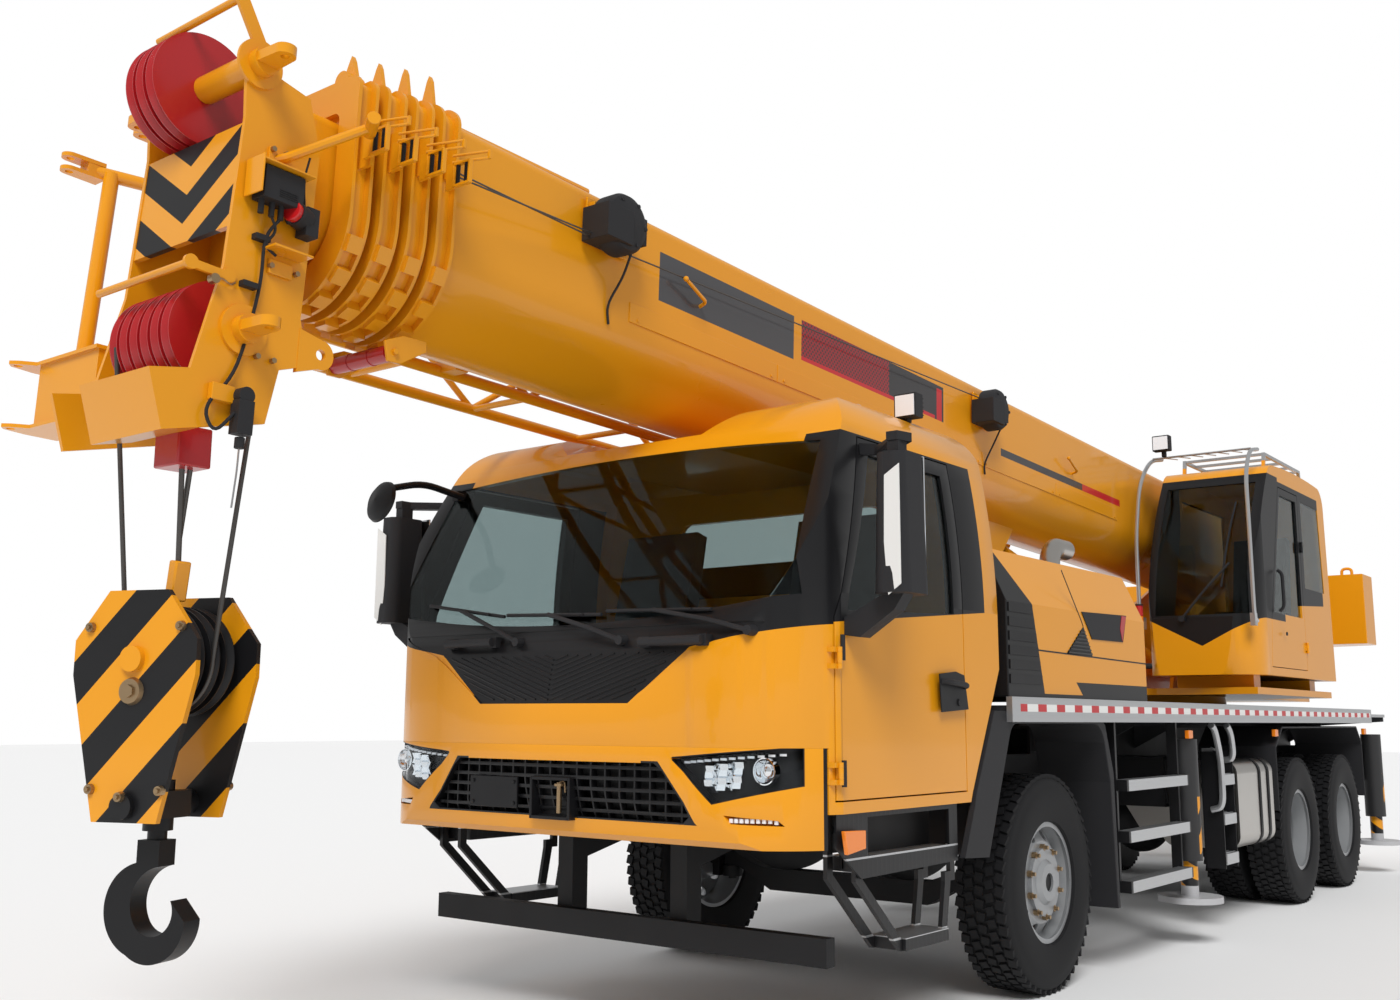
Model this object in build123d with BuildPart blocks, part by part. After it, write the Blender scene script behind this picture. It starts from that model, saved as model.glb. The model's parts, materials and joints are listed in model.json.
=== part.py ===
from build123d import *
import os
from math import acos, atan2, cos, degrees, hypot, radians, sin, sqrt

os.makedirs("parts", exist_ok=True)

# Three-axle truck crane with a five-section boom, parked in its travel position.
# Millimetres, +X ahead, +Y to the left, +Z up from the ground.
# Stations are measured from the front axle, ahead positive.

# Wheels and axles
wheelbase = 4425
tandem_gap = 1350
tyre_r = 530
tyre_w = 290
rim_r = 296
front_wheel_y = 1035
rear_outer_y = 1095
twin_gap = 40
kingpin_y = 800

# Carrier
carrier_half = 1275
deck_top = 1435
rail_h = 118
rail_t = 30
frame_top = 1290
frame_bottom = 800
frame_half = 400
frame_wall = 16
carrier_tail = -7420
deck_front = 610
deck_rear = -6740

# Boom
boom_angle = 2.1
boom_foot_x = -6640
boom_foot_z = 2550
boom_top_w = 660
boom_wall = 10
section_w = [620, 556, 496, 440, 388]
section_h = [820, 742, 668, 600, 536]
collar_pitch = 120
collar_len = 84
base_collar_u = 9965
boom_tail_u = -280

# Head of the boom, in the boom's own directions: u along, w up
nose_u = 11076
nose_w = -589
upper_axis = (10804, 518)
lower_axis = (10773, -395)
head_sheave_r = 200
head_half = 300
head_plate = 16

# Superstructure
slew_x = -4650
tail_radius = 3330
table_bottom = 1520
table_t = 50

ca = cos(radians(boom_angle))
sa = sin(radians(boom_angle))

# The origin lies under the middle of the whole crane, from the boom's nose to the counterweight's tail.
nose_x = boom_foot_x + nose_u * ca - nose_w * sa
tail_x = slew_x - tail_radius
front_axle_x = -(nose_x + tail_x) / 2


def at(x):
    return front_axle_x + x


def boom_point(u, w, y=0):
    return (at(boom_foot_x) + u * ca - w * sa, y, boom_foot_z + u * sa + w * ca)


def boom_cut(u):
    # a plane across the boom: local x to the left, local y up
    return Plane(origin=boom_point(u, 0), x_dir=(0, 1, 0), z_dir=(ca, 0, sa))


def boom_side(y=0):
    # a plane along the boom: local x ahead, local y up, its normal to the right
    return Plane(origin=boom_point(0, 0, y), x_dir=(ca, 0, sa), z_dir=(0, -1, 0))


def side(y=0):
    # a plane along the carrier: local x is the station, local y the height, its normal to the right
    return Plane(origin=(at(0), y, 0), x_dir=(1, 0, 0), z_dir=(0, -1, 0))


def across(x):
    # a plane across the carrier: local x to the left, local y the height, its normal ahead
    return Plane(origin=(at(x), 0, 0), x_dir=(0, 1, 0), z_dir=(1, 0, 0))


def level(z):
    # a level plane: local x is the station, local y to the left
    return Plane(origin=(at(0), 0, z), x_dir=(1, 0, 0), z_dir=(0, 0, 1))


# Outrigger sizes, used by the frame and by the beams
outrigger_x = [-2080, -7160]
outrigger_z = 955
box_w = 350
box_h = 300
box_wall = 14
beam_gap = 6
beam_w = (box_w - 2 * box_wall - 3 * beam_gap) / 2
pad_t = 8
slide_clear = 0.3
beam_h = box_h - 2 * box_wall - 2 * pad_t - 2 * slide_clear
box_half = 1090

# Chassis frame with its outrigger boxes, slewing seat and front bar
front_rail_x = 1500
rail_y = 385
rail_w = 90
rail_h_web = 300
rail_top = 1120
tunnel_top = 1175
frame_break_x = -1500
bar_x = 1975
bar_low = 377
bar_high = 487
bar_half = 1110
bar_t = 60
post_y = 330
seat_r = 640
seat_top = 1455

with BuildPart() as chassis_frame:
    for s in (1, -1):
        with BuildSketch(across(frame_break_x)):
            with Locations((s * rail_y, rail_top - rail_h_web / 2)):
                Rectangle(rail_w, rail_h_web)
            with Locations((s * (rail_y - 14), rail_top - rail_h_web / 2)):
                Rectangle(rail_w, rail_h_web - 36, mode=Mode.SUBTRACT)
        extrude(amount=front_rail_x - frame_break_x)
    with BuildSketch(across(carrier_tail)):
        with Locations((0, (frame_top + frame_bottom) / 2)):
            Rectangle(2 * frame_half, frame_top - frame_bottom)
            Rectangle(2 * (frame_half - frame_wall), frame_top - frame_bottom - 2 * frame_wall, mode=Mode.SUBTRACT)
    extrude(amount=frame_break_x - carrier_tail)
    for x in (front_rail_x - 40, 700, -1180, frame_break_x - 20, carrier_tail):
        with BuildSketch(across(x)):
            with Locations((0, 970)):
                Rectangle(2 * rail_y + 70, 180)
        extrude(amount=40)
    # the slewing seat
    with BuildSketch(Plane.XY.offset(frame_top - frame_wall)):
        with Locations((at(slew_x), 0)):
            Circle(seat_r)
            Circle(seat_r - 90, mode=Mode.SUBTRACT)
    extrude(amount=seat_top - frame_top + frame_wall)
    # outrigger boxes right across
    for x in outrigger_x:
        with BuildSketch(side()):
            with Locations((x, outrigger_z)):
                Rectangle(box_w, box_h)
        extrude(amount=box_half, both=True)
        with BuildSketch(side()):
            with Locations((x, outrigger_z)):
                Rectangle(box_w - 2 * box_wall, box_h - 2 * box_wall)
        extrude(amount=box_half, both=True, mode=Mode.SUBTRACT)
        for dz in (1, -1):
            with Locations((at(x), 0, outrigger_z + dz * (box_h / 2 - box_wall - pad_t / 2))):
                with Locations((0, box_half - 90, 0), (0, -box_half + 90, 0)):
                    Box(box_w - 2 * box_wall, 160, pad_t)
    # front bar on its two posts
    with BuildSketch(side()):
        with Locations((bar_x - bar_t / 2, (bar_low + bar_high) / 2)):
            Rectangle(bar_t, bar_high - bar_low)
    extrude(amount=bar_half, both=True)
    for s in (1, -1):
        with BuildSketch(side(s * post_y)):
            Polygon((bar_x - bar_t, bar_low + 20), (bar_x - bar_t, 800), (front_rail_x - 30, 900),
                    (front_rail_x - 30, rail_top), (front_rail_x - 230, rail_top), (front_rail_x - 230, 825),
                    (bar_x - 160, 700), (bar_x - 160, bar_low + 20), align=None)
        extrude(amount=45, both=True)
    # seats under the driver's cab
    for s in (1, -1):
        with BuildSketch(level(rail_top)):
            with Locations((front_rail_x - 90, s * rail_y), (760, s * rail_y)):
                Rectangle(140, rail_w)
        extrude(amount=tunnel_top - rail_top)
chassis_frame.part.label = "chassis_frame"
export_step(chassis_frame.part, "parts/chassis_frame.step")

# Deck plates on their cross-members, and the aluminium side rails
deck_t = 26
deck_z = deck_top - 40
deck_edge = carrier_half - rail_t
member_x = [frame_break_x - 60, -2480, -3300, -5350, -6450, carrier_tail + 60]
with BuildPart() as deck:
    with BuildSketch(level(deck_z - deck_t)):
        with Locations(((deck_front - 60 + carrier_tail) / 2, 0)):
            Rectangle(deck_front - 60 - carrier_tail, 2 * deck_edge)
        with Locations((slew_x, 0)):
            Circle(seat_r + 20, mode=Mode.SUBTRACT)
        with Locations(((deck_front - 60 + frame_break_x) / 2, 0)):
            Rectangle(deck_front - frame_break_x - 60, 1700, mode=Mode.SUBTRACT)
    extrude(amount=deck_t)
    for x in member_x:
        for s in (1, -1):
            with BuildSketch(across(x)):
                Polygon((s * frame_half, frame_top - 160), (s * frame_half, deck_z - deck_t),
                        (s * deck_edge, deck_z - deck_t), (s * deck_edge, 1330), (s * 700, 1290), align=None)
            extrude(amount=6, both=True)
    for s in (1, -1):
        with BuildSketch(across(carrier_tail)):
            with Locations((s * (frame_half - 40), (frame_top + deck_z - deck_t) / 2)):
                Rectangle(60, deck_z - deck_t - frame_top)
        extrude(amount=slew_x - seat_r - 60 - carrier_tail)
        with BuildSketch(across(slew_x + seat_r + 60)):
            with Locations((s * (frame_half - 40), (frame_top + deck_z - deck_t) / 2)):
                Rectangle(60, deck_z - deck_t - frame_top)
        extrude(amount=frame_break_x - slew_x - seat_r - 60)
    # aluminium side rails
    for s in (1, -1):
        with BuildSketch(across(deck_rear)):
            with Locations((s * (carrier_half - rail_t / 2), deck_top - rail_h / 2)):
                Rectangle(rail_t, rail_h)
        extrude(amount=deck_front - deck_rear)
deck.part.label = "deck"
export_step(deck.part, "parts/deck.step")

# Driver's cab: a hollow shell with its window and door openings, standing ahead of the front axle
cab_half = 1235
cab_wall = 45
cab_rear = 655
cab_side_front = 2100
cab_nose = 2395
cab_roof = 2725
cab_bottom = 966
belt = 1720
head_line = 2480
windscreen_top_x = 1840
cab_lower_front = 1215
channel_half = 410
channel_z = 2580
door_front = 2075
door_rear = 1006
door_bottom = 1012
door_top = 2490
seat_gap = 0.3
door_clear = 6
pin_clear = 0.05


bumper_low = 835
bumper_gap = 0.3
bumper_depth = 115
lamp_depth = 60
panel_depth = 7


def cab_profile(inset):
    # the cab seen from the side, drawn in by the wall
    k = inset
    with BuildSketch(side()) as profile:
        with BuildLine():
            Polyline((cab_side_front - k, cab_bottom + k), (cab_side_front - k, cab_lower_front + k),
                     (cab_nose - k, cab_lower_front + k))
            ThreePointArc((cab_nose - k, cab_lower_front + k), (cab_nose - 14 - k, 1490), (cab_nose - 85 - k, belt - 20))
            ThreePointArc((cab_nose - 85 - k, belt - 20), (2116 - k, 2138), (1885 - k, 2560 - k / 2))
            ThreePointArc((1885 - k, 2560 - k / 2), (1800 - k * 0.7, 2655 - k * 0.7), (1640, 2700 - k))
            ThreePointArc((1640, 2700 - k), (1230, cab_roof - k), (820, 2718 - k))
            ThreePointArc((820, 2718 - k), (700 + k * 0.7, 2670 - k * 0.7), (cab_rear + k, 2560))
            Polyline((cab_rear + k, 2560), (cab_rear + k, 1560 + k / 3), (955 + k, 1010 + k / 3), (975 + k, cab_bottom + k),
                     (cab_side_front - k, cab_bottom + k))
        make_face()
    return profile.sketch


def cab_plan(inset):
    # the cab seen from above: straight sides, rounded corners and a bowed front
    k = inset
    half = cab_half - k
    with BuildSketch(level(bumper_low)) as plan:
        with BuildLine():
            ThreePointArc((2040, -half), (2225 - k * 0.7, k * 0.7 - 1115), (2350 - k, -700))
            ThreePointArc((2350 - k, -700), (cab_nose - k, 0), (2350 - k, 700))
            ThreePointArc((2350 - k, 700), (2225 - k * 0.7, 1115 - k * 0.7), (2040, half))
            Polyline((2040, half), (cab_rear - 100, half), (cab_rear - 100, -half), (2040, -half))
        make_face()
    return plan.sketch


def cab_section(inset):
    # the cab seen from the front: upper sides leaning in, and a channel in the roof under the boom
    k = inset
    half = cab_half - k
    with BuildSketch(across(cab_rear - 120)) as section:
        with BuildLine():
            ThreePointArc((half, belt), (half - 18, 2150), (half - 75, 2540))
            ThreePointArc((half - 75, 2540), (half - 150, 2650 - k * 0.7), (half - 300, cab_roof - k))
            Polyline((half - 300, cab_roof - k), (600 - k / 3, cab_roof - 10 - k), (channel_half - k / 3, channel_z - k),
                     (k / 3 - channel_half, channel_z - k), (k / 3 - 600, cab_roof - 10 - k), (300 - half, cab_roof - k))
            ThreePointArc((300 - half, cab_roof - k), (150 - half, 2650 - k * 0.7), (75 - half, 2540))
            ThreePointArc((75 - half, 2540), (18 - half, 2150), (-half, belt))
            Polyline((-half, belt), (-half, 700), (half, 700), (half, belt))
        make_face()
    return section.sketch


def cab_solid(inset):
    # the cab's whole form, drawn in by the wall: side, plan and front view meet
    with BuildPart() as solid:
        extrude(cab_profile(inset), amount=cab_half + 50, both=True)
        extrude(cab_plan(inset), amount=2400, mode=Mode.INTERSECT)
        extrude(cab_section(inset), amount=2400, mode=Mode.INTERSECT)
    return solid.part


def bumper_profile(inset):
    # the bumper seen from the side: its face runs back a little towards the bottom
    k = inset
    with BuildSketch(side()) as profile:
        with BuildLine():
            Polyline((cab_side_front + 6, cab_lower_front - bumper_gap), (cab_nose - k, cab_lower_front - bumper_gap))
            ThreePointArc((cab_nose - k, cab_lower_front - bumper_gap), (cab_nose - 12 - k, 1020), (2325 - k, bumper_low + 25))
            Polyline((2325 - k, bumper_low + 25), (2290 - k, bumper_low), (cab_side_front + 6, bumper_low),
                     (cab_side_front + 6, cab_lower_front - bumper_gap))
        make_face()
    return profile.sketch


def bumper_solid(inset):
    with BuildPart() as solid:
        extrude(bumper_profile(inset), amount=cab_half + 50, both=True)
        extrude(cab_plan(inset), amount=500, mode=Mode.INTERSECT)
    return solid.part


cab_outer = cab_solid(0)
cab_under_paint = cab_solid(panel_depth)


def windscreen(inset):
    # the windscreen's outline seen from the front
    k = inset
    with BuildSketch(across(windscreen_top_x - 160)) as pane:
        with BuildLine():
            ThreePointArc((-1150 + k, belt + 85 + k), (0, belt + k), (1150 - k, belt + 85 + k))
            Line((1150 - k, belt + 85 + k), (1085 - k, head_line - 20 - k))
            ThreePointArc((1085 - k, head_line - 20 - k), (0, head_line + 30 - k), (k - 1085, head_line - 20 - k))
            Line((k - 1085, head_line - 20 - k), (-1150 + k, belt + 85 + k))
        make_face()
    return pane.sketch


def door_outline(s, clear):
    # the door seen from the side
    with BuildSketch(side(s * (cab_half + 20))) as outline:
        Polygon((door_front - clear, door_bottom + clear), (door_front - clear, belt),
                (windscreen_top_x - 40 - clear, door_top - clear), (door_rear + clear, door_top - clear),
                (door_rear + clear, door_bottom + clear), align=None)
    return outline.sketch


def door_window(s, clear):
    with BuildSketch(side(s * (cab_half + 20))) as outline:
        Polygon((door_front - 85 - clear, belt + 30 + clear), (door_front - 100 - clear, belt + 110),
                (windscreen_top_x - 110 - clear, door_top - 70 - clear), (door_rear + 90 + clear, door_top - 70 - clear),
                (door_rear + 90 + clear, belt + 70 + clear), align=None)
    return outline.sketch


# under the floor the cab is open between its two side sills
tunnel_half = 760

# Hinges: barrels just outside the skin, with a pin through them
hinge_r = 11
hinge_pin_r = 5
hinge_len = 44
hinge_out = hinge_r + 0.3
door_hinge_z = [1120, 1560]


def hinge_barrel(x, y, s, z, lead, pinned):
    # one leaf and its barrel, the leaf pointing along the carrier by lead; s is the side that the door is on
    with BuildPart() as leaf:
        for z0, h in (((z - hinge_len / 2, hinge_len),) if not pinned else
                      ((z - hinge_len / 2 - 20.3, 20), (z + hinge_len / 2 + 0.3, 20))):
            with BuildSketch(Plane.XY.offset(z0)):
                with Locations((at(x), y + s * hinge_out)):
                    Circle(hinge_r)
                with Locations((at(x) + lead * 17, y - s * 17)):
                    Rectangle(28, 46)
            extrude(amount=h)
        with BuildSketch(Plane.XY.offset(z - hinge_len / 2 - 20.3)):
            with Locations((at(x), y + s * hinge_out)):
                Circle(hinge_pin_r if pinned else hinge_pin_r + pin_clear)
        extrude(amount=hinge_len + 40.6, mode=Mode.ADD if pinned else Mode.SUBTRACT)
    return leaf.part


with BuildPart() as cab_core:
    add(cab_solid(cab_wall))
    with BuildSketch(across(cab_rear - 20)):
        with Locations((0, tunnel_top + cab_wall - 400)):
            Rectangle(2 * (tunnel_half + cab_wall), 800)
    extrude(amount=2000, mode=Mode.SUBTRACT)

with BuildPart() as cab_skin:
    add(cab_outer)
    add(cab_core.part, mode=Mode.SUBTRACT)
    with BuildSketch(across(cab_rear - 20)):
        with Locations((0, tunnel_top - 400)):
            Rectangle(2 * tunnel_half, 800)
    extrude(amount=2000, mode=Mode.SUBTRACT)

with BuildPart() as cab_shell:
    add(cab_skin.part)
    for s in (1, -1):
        extrude(door_outline(s, 0), amount=s * 200, mode=Mode.SUBTRACT)
    extrude(windscreen(0), amount=900, mode=Mode.SUBTRACT)
    # rear window opening
    with BuildSketch(across(cab_rear - 20)):
        with Locations((0, 2180)):
            RectangleRounded(1300, 420, 60)
    extrude(amount=100, mode=Mode.SUBTRACT)
    # the black panel under the windscreen lies a little deeper than the skin
    with BuildPart(mode=Mode.SUBTRACT):
        with BuildSketch(across(cab_side_front + 60)):
            Polygon((-1040, 1690), (-760, 1600), (-420, 1385), (420, 1385), (760, 1600), (1040, 1690),
                    (1040, belt - 22), (-1040, belt - 22), align=None)
        extrude(amount=300)
        add(cab_under_paint, mode=Mode.SUBTRACT)
    for s in (1, -1):
        for z in door_hinge_z:
            add(hinge_barrel(door_front - door_clear / 2, s * cab_half, s, z, 1, True))
cab_shell.part.label = "cab_shell"
export_step(cab_shell.part, "parts/cab_shell.step")

pane_outer = cab_solid(12)
pane_inner = cab_solid(18)
for name, s in (("left", 1), ("right", -1)):
    with BuildPart() as door:
        extrude(door_outline(s, door_clear), amount=s * 200)
        add(cab_skin.part, mode=Mode.INTERSECT)
        extrude(door_window(s, 0), amount=s * 200, mode=Mode.SUBTRACT)
        for z in door_hinge_z:
            add(hinge_barrel(door_front - door_clear / 2, s * cab_half, s, z, -1, False))
    door.part.label = f"{name}_door"
    export_step(door.part, f"parts/{name}_door.step")
    with BuildPart() as door_glass:
        extrude(door_window(s, 0), amount=s * 200)
        add(pane_outer, mode=Mode.INTERSECT)
        add(pane_inner, mode=Mode.SUBTRACT)
    door_glass.part.label = f"{name}_door_glass"
    export_step(door_glass.part, f"parts/{name}_door_glass.step")

with BuildPart() as cab_glass:
    # windscreen, following the cab's bowed front
    extrude(windscreen(0.3), amount=900)
    add(cab_solid(4), mode=Mode.INTERSECT)
    add(cab_solid(10), mode=Mode.SUBTRACT)
    with BuildSketch(across(cab_rear + 20)):
        with Locations((0, 2180)):
            RectangleRounded(1299.4, 419.4, 60)
    extrude(amount=6)
cab_glass.part.label = "cab_glass"
export_step(cab_glass.part, "parts/cab_glass.step")

# Front bumper with its grille and lamp pockets, under the cab's seam
bumper_hollow = bumper_solid(bumper_depth)
with BuildPart() as cab_front:
    add(bumper_solid(0))
    add(bumper_hollow, mode=Mode.SUBTRACT)
    # lamp pockets
    with BuildPart(mode=Mode.SUBTRACT):
        for s in (1, -1):
            with BuildSketch(across(cab_side_front + 20)):
                Polygon((s * 640, 1172), (s * 1150, 1216), (s * 1150, 1080), (s * 1090, 1062), (s * 840, 1004), align=None)
                Polygon((s * 890, 962), (s * 1080, 946), (s * 1100, 925), (s * 915, 930), align=None)
            extrude(amount=400)
        add(bumper_solid(lamp_depth), mode=Mode.SUBTRACT)
    # grille opening with its bars
    with BuildSketch(across(cab_side_front)):
        Polygon((-560, 1150), (560, 1150), (600, 1120), (733, 950), (700, 925), (-700, 925), (-733, 950), (-600, 1120),
                align=None)
    extrude(amount=500, mode=Mode.SUBTRACT)
    with BuildPart():
        with BuildSketch(across(cab_side_front + 40)):
            with Locations((0, 1128), (0, 1084), (0, 1040), (0, 996), (0, 952)):
                Rectangle(1450, 14)
            with GridLocations(75, 1, 19, 1):
                with Locations((0, 1040)):
                    Rectangle(8, 230)
        extrude(amount=400)
        with BuildSketch(across(cab_side_front)):
            Polygon((-565, 1155), (565, 1155), (605, 1125), (740, 950), (702, 920), (-702, 920), (-740, 950),
                    (-605, 1125), align=None)
        extrude(amount=500, mode=Mode.INTERSECT)
        add(bumper_solid(25), mode=Mode.INTERSECT)
        add(bumper_solid(60), mode=Mode.SUBTRACT)
    with BuildPart():
        with BuildSketch(across(cab_side_front)):
            Polygon((-565, 1155), (565, 1155), (605, 1125), (740, 950), (702, 920), (-702, 920), (-740, 950),
                    (-605, 1125), align=None)
        extrude(amount=500)
        add(bumper_solid(bumper_depth - 20), mode=Mode.INTERSECT)
        add(bumper_hollow, mode=Mode.SUBTRACT)
cab_front.part.label = "cab_front"
export_step(cab_front.part, "parts/cab_front.step")

# Seats, dashboard and steering wheel, standing on the cab's floor
floor_z = tunnel_top + cab_wall
with BuildPart() as cab_interior:
    with BuildSketch(side()):
        Polygon((cab_nose - 90, cab_lower_front + cab_wall), (cab_nose - 90, belt - 90), (cab_nose - 330, belt - 60),
                (cab_nose - 480, belt - 150), (cab_nose - 420, cab_lower_front + cab_wall), align=None)
    extrude(amount=1080, both=True)
    add(cab_solid(cab_wall + 30), mode=Mode.INTERSECT)
    # foot of the dashboard on the raised floor at the front
    with BuildSketch(side()):
        with Locations((cab_nose - 185, cab_lower_front + cab_wall + 30)):
            Rectangle(150, 60)
    extrude(amount=500, both=True)
    for s in (1, -1):
        with BuildSketch(side(s * 560)):
            Polygon((1500, floor_z), (1500, floor_z + 330), (1560, floor_z + 360), (1560, floor_z + 430),
                    (1120, floor_z + 420), (960, floor_z + 1080), (880, floor_z + 1060),
                    (1020, floor_z + 330), (1100, floor_z + 300), (1100, floor_z), align=None)
        extrude(amount=240, both=True)
    with BuildSketch(Plane(origin=(at(1790), 560, belt - 60), x_dir=(0, 1, 0), z_dir=(-0.55, 0, 0.835))):
        Circle(225)
        Circle(195, mode=Mode.SUBTRACT)
        Rectangle(400, 36)
    extrude(amount=12, both=True)
    with BuildSketch(Plane(origin=(at(1790), 560, belt - 60), x_dir=(0, 1, 0), z_dir=(-0.55, 0, 0.835))):
        Circle(32)
    extrude(amount=-260)
cab_interior.part.label = "cab_interior"
export_step(cab_interior.part, "parts/cab_interior.step")

# Mirrors on the doors' front edges, reaching as far out on the right as on the left
mirror_reach = 1550
mirror_x = 1985
for name, s in (("left", 1), ("right", -1)):
    with BuildPart() as mirror:
        with BuildSketch(level(1800)):
            with Locations((mirror_x, s * (mirror_reach - 75))):
                RectangleRounded(230, 150, 60)
        extrude(amount=545, taper=1.5)
        with BuildSketch(across(mirror_x - 45)):
            Polygon((s * (cab_half + seat_gap), 1650), (s * (cab_half + seat_gap), 1720), (s * (mirror_reach - 120), 1810),
                    (s * (mirror_reach - 40), 1810), (s * (mirror_reach - 90), 1740), (s * (cab_half + 70), 1640),
                    align=None)
        extrude(amount=80)
        with BuildSketch(across(1762)):
            Polygon((s * (cab_half - 51.5), 2410), (s * (cab_half - 55.5), 2460), (s * (cab_half + 60), 2440),
                    (s * (cab_half + 60), 2400), align=None)
        extrude(amount=36)
        with BuildSketch(level(2400)):
            Polygon((1762, s * (cab_half + 20)), (1762, s * (cab_half + 60)), (mirror_x - 40, s * (mirror_reach - 40)),
                    (mirror_x + 40, s * (mirror_reach - 60)), (mirror_x + 40, s * (mirror_reach - 110)),
                    (mirror_x - 20, s * (mirror_reach - 110)), (1798, s * (cab_half + 20)), align=None)
        extrude(amount=36)
        with BuildSketch(level(2330)):
            with Locations((mirror_x, s * (mirror_reach - 85))):
                Rectangle(70, 50)
        extrude(amount=80)
    mirror.part.label = f"{name}_mirror"
    export_step(mirror.part, f"parts/{name}_mirror.step")

# Engine hood behind the cab, open underneath, and the engine as a plain block
hood_front = 590
hood_rear = -1240
hood_top = 2155
hood_half = 1250
hood_low = deck_top
hood_wall = 30
with BuildPart() as engine_hood:
    with BuildSketch(across(hood_rear)):
        Polygon((-hood_half, hood_low), (-hood_half, 1890), (-1130, hood_top), (1130, hood_top),
                (hood_half, 1890), (hood_half, hood_low), align=None)
    extrude(amount=hood_front - hood_rear)
    with BuildSketch(across(hood_rear + hood_wall)):
        Polygon((-hood_half + hood_wall, hood_low - 10), (-hood_half + hood_wall, 1880), (-1115, hood_top - hood_wall),
                (1115, hood_top - hood_wall), (hood_half - hood_wall, 1880), (hood_half - hood_wall, hood_low - 10),
                align=None)
    extrude(amount=hood_front - hood_rear - 2 * hood_wall, mode=Mode.SUBTRACT)
engine_hood.part.label = "engine_hood"
export_step(engine_hood.part, "parts/engine_hood.step")

with BuildPart() as engine:
    with BuildSketch(side()):
        Polygon((420, 905), (420, 1900), (-300, 1900), (-300, 1500), (-1050, 1300), (-1050, 905), align=None)
    extrude(amount=320, both=True)
    # mounts on the frame rails
    with BuildSketch(side()):
        with Locations((200, 940), (-700, 940)):
            Rectangle(120, 70)
    extrude(amount=rail_y - 14 + rail_w / 2, both=True)
engine.part.label = "engine"
export_step(engine.part, "parts/engine.step")

# Axles. The front one carries the steering knuckles on upright pins.
axle_z = tyre_r
pin_r = 24
rear_axle_x = [-wheelbase, -wheelbase - tandem_gap]
rear_mid_y = rear_outer_y - (tyre_w + twin_gap) / 2
rear_spindle_r = 62
disc_t = 14
with BuildPart() as axles:
    with BuildSketch(across(-50)):
        Polygon((-kingpin_y, axle_z - 40), (-kingpin_y, axle_z + 40), (-kingpin_y + 75, axle_z + 40),
                (-500, axle_z - 40), (500, axle_z - 40), (kingpin_y - 75, axle_z + 40), (kingpin_y, axle_z + 40),
                (kingpin_y, axle_z - 40), (kingpin_y - 75, axle_z - 40), (500, axle_z - 160),
                (-500, axle_z - 160), (-kingpin_y + 75, axle_z - 40), align=None)
    extrude(amount=100)
    for s in (1, -1):
        with BuildSketch(Plane.XY.offset(axle_z - 40)):
            with Locations((at(0), s * kingpin_y)):
                Circle(50)
        extrude(amount=80)
    for s in (1, -1):
        with BuildSketch(Plane.XY.offset(axle_z - 120)):
            with Locations((at(0), s * kingpin_y)):
                Circle(pin_r)
        extrude(amount=240)
        # leaf spring under the frame rail
        with BuildSketch(side(s * rail_y)):
            with BuildLine():
                ThreePointArc((-700, 790), (0, axle_z - 40), (700, 790))
                Line((700, 790), (640, 820))
                ThreePointArc((640, 820), (0, axle_z + 60), (-640, 820))
                Line((-640, 820), (-700, 790))
            make_face()
        extrude(amount=40, both=True)
    for x in rear_axle_x:
        with BuildSketch(side()):
            with Locations((x, axle_z)):
                Circle(95)
        extrude(amount=rear_mid_y - disc_t - 185, both=True)
        with BuildSketch(side()):
            with Locations((x, axle_z)):
                Circle(rear_spindle_r)
        extrude(amount=rear_mid_y - 5, both=True)
        with Locations((at(x), 0, axle_z)):
            Sphere(235)
        for s in (1, -1):
            with BuildSketch(side(s * 385)):
                with Locations((x, axle_z + 150)):
                    Rectangle(120, 190)
            extrude(amount=50, both=True)
    for s in (1, -1):
        with BuildSketch(side(s * 385)):
            with BuildLine():
                xm = (rear_axle_x[0] + rear_axle_x[1]) / 2
                ThreePointArc((rear_axle_x[1] - 60, axle_z + 130), (xm, 800), (rear_axle_x[0] + 60, axle_z + 130))
                Line((rear_axle_x[0] + 60, axle_z + 130), (rear_axle_x[0] + 60, axle_z + 80))
                ThreePointArc((rear_axle_x[0] + 60, axle_z + 80), (xm, 700), (rear_axle_x[1] - 60, axle_z + 80))
                Line((rear_axle_x[1] - 60, axle_z + 80), (rear_axle_x[1] - 60, axle_z + 130))
            make_face()
        extrude(amount=40, both=True)
axles.part.label = "axles"
export_step(axles.part, "parts/axles.step")

# Wheels. Tyre and disc wheel are turned profiles about the wheel's axis.
spindle_r = 45
spindle_clear = 0.05


def tyre_ring(x, y):
    half = tyre_w / 2
    with BuildPart() as ring:
        with BuildSketch(Plane(origin=(at(x), y, axle_z), x_dir=(0, 1, 0), z_dir=(1, 0, 0))):
            Polygon((30 - half, tyre_r), (half - 30, tyre_r), (half - 4, tyre_r - 34), (half, 420), (half - 30, rim_r),
                    (30 - half, rim_r), (-half, 420), (4 - half, tyre_r - 34), align=None)
        revolve(axis=Axis((at(x), 0, axle_z), (0, 1, 0)))
    return ring.part


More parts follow.
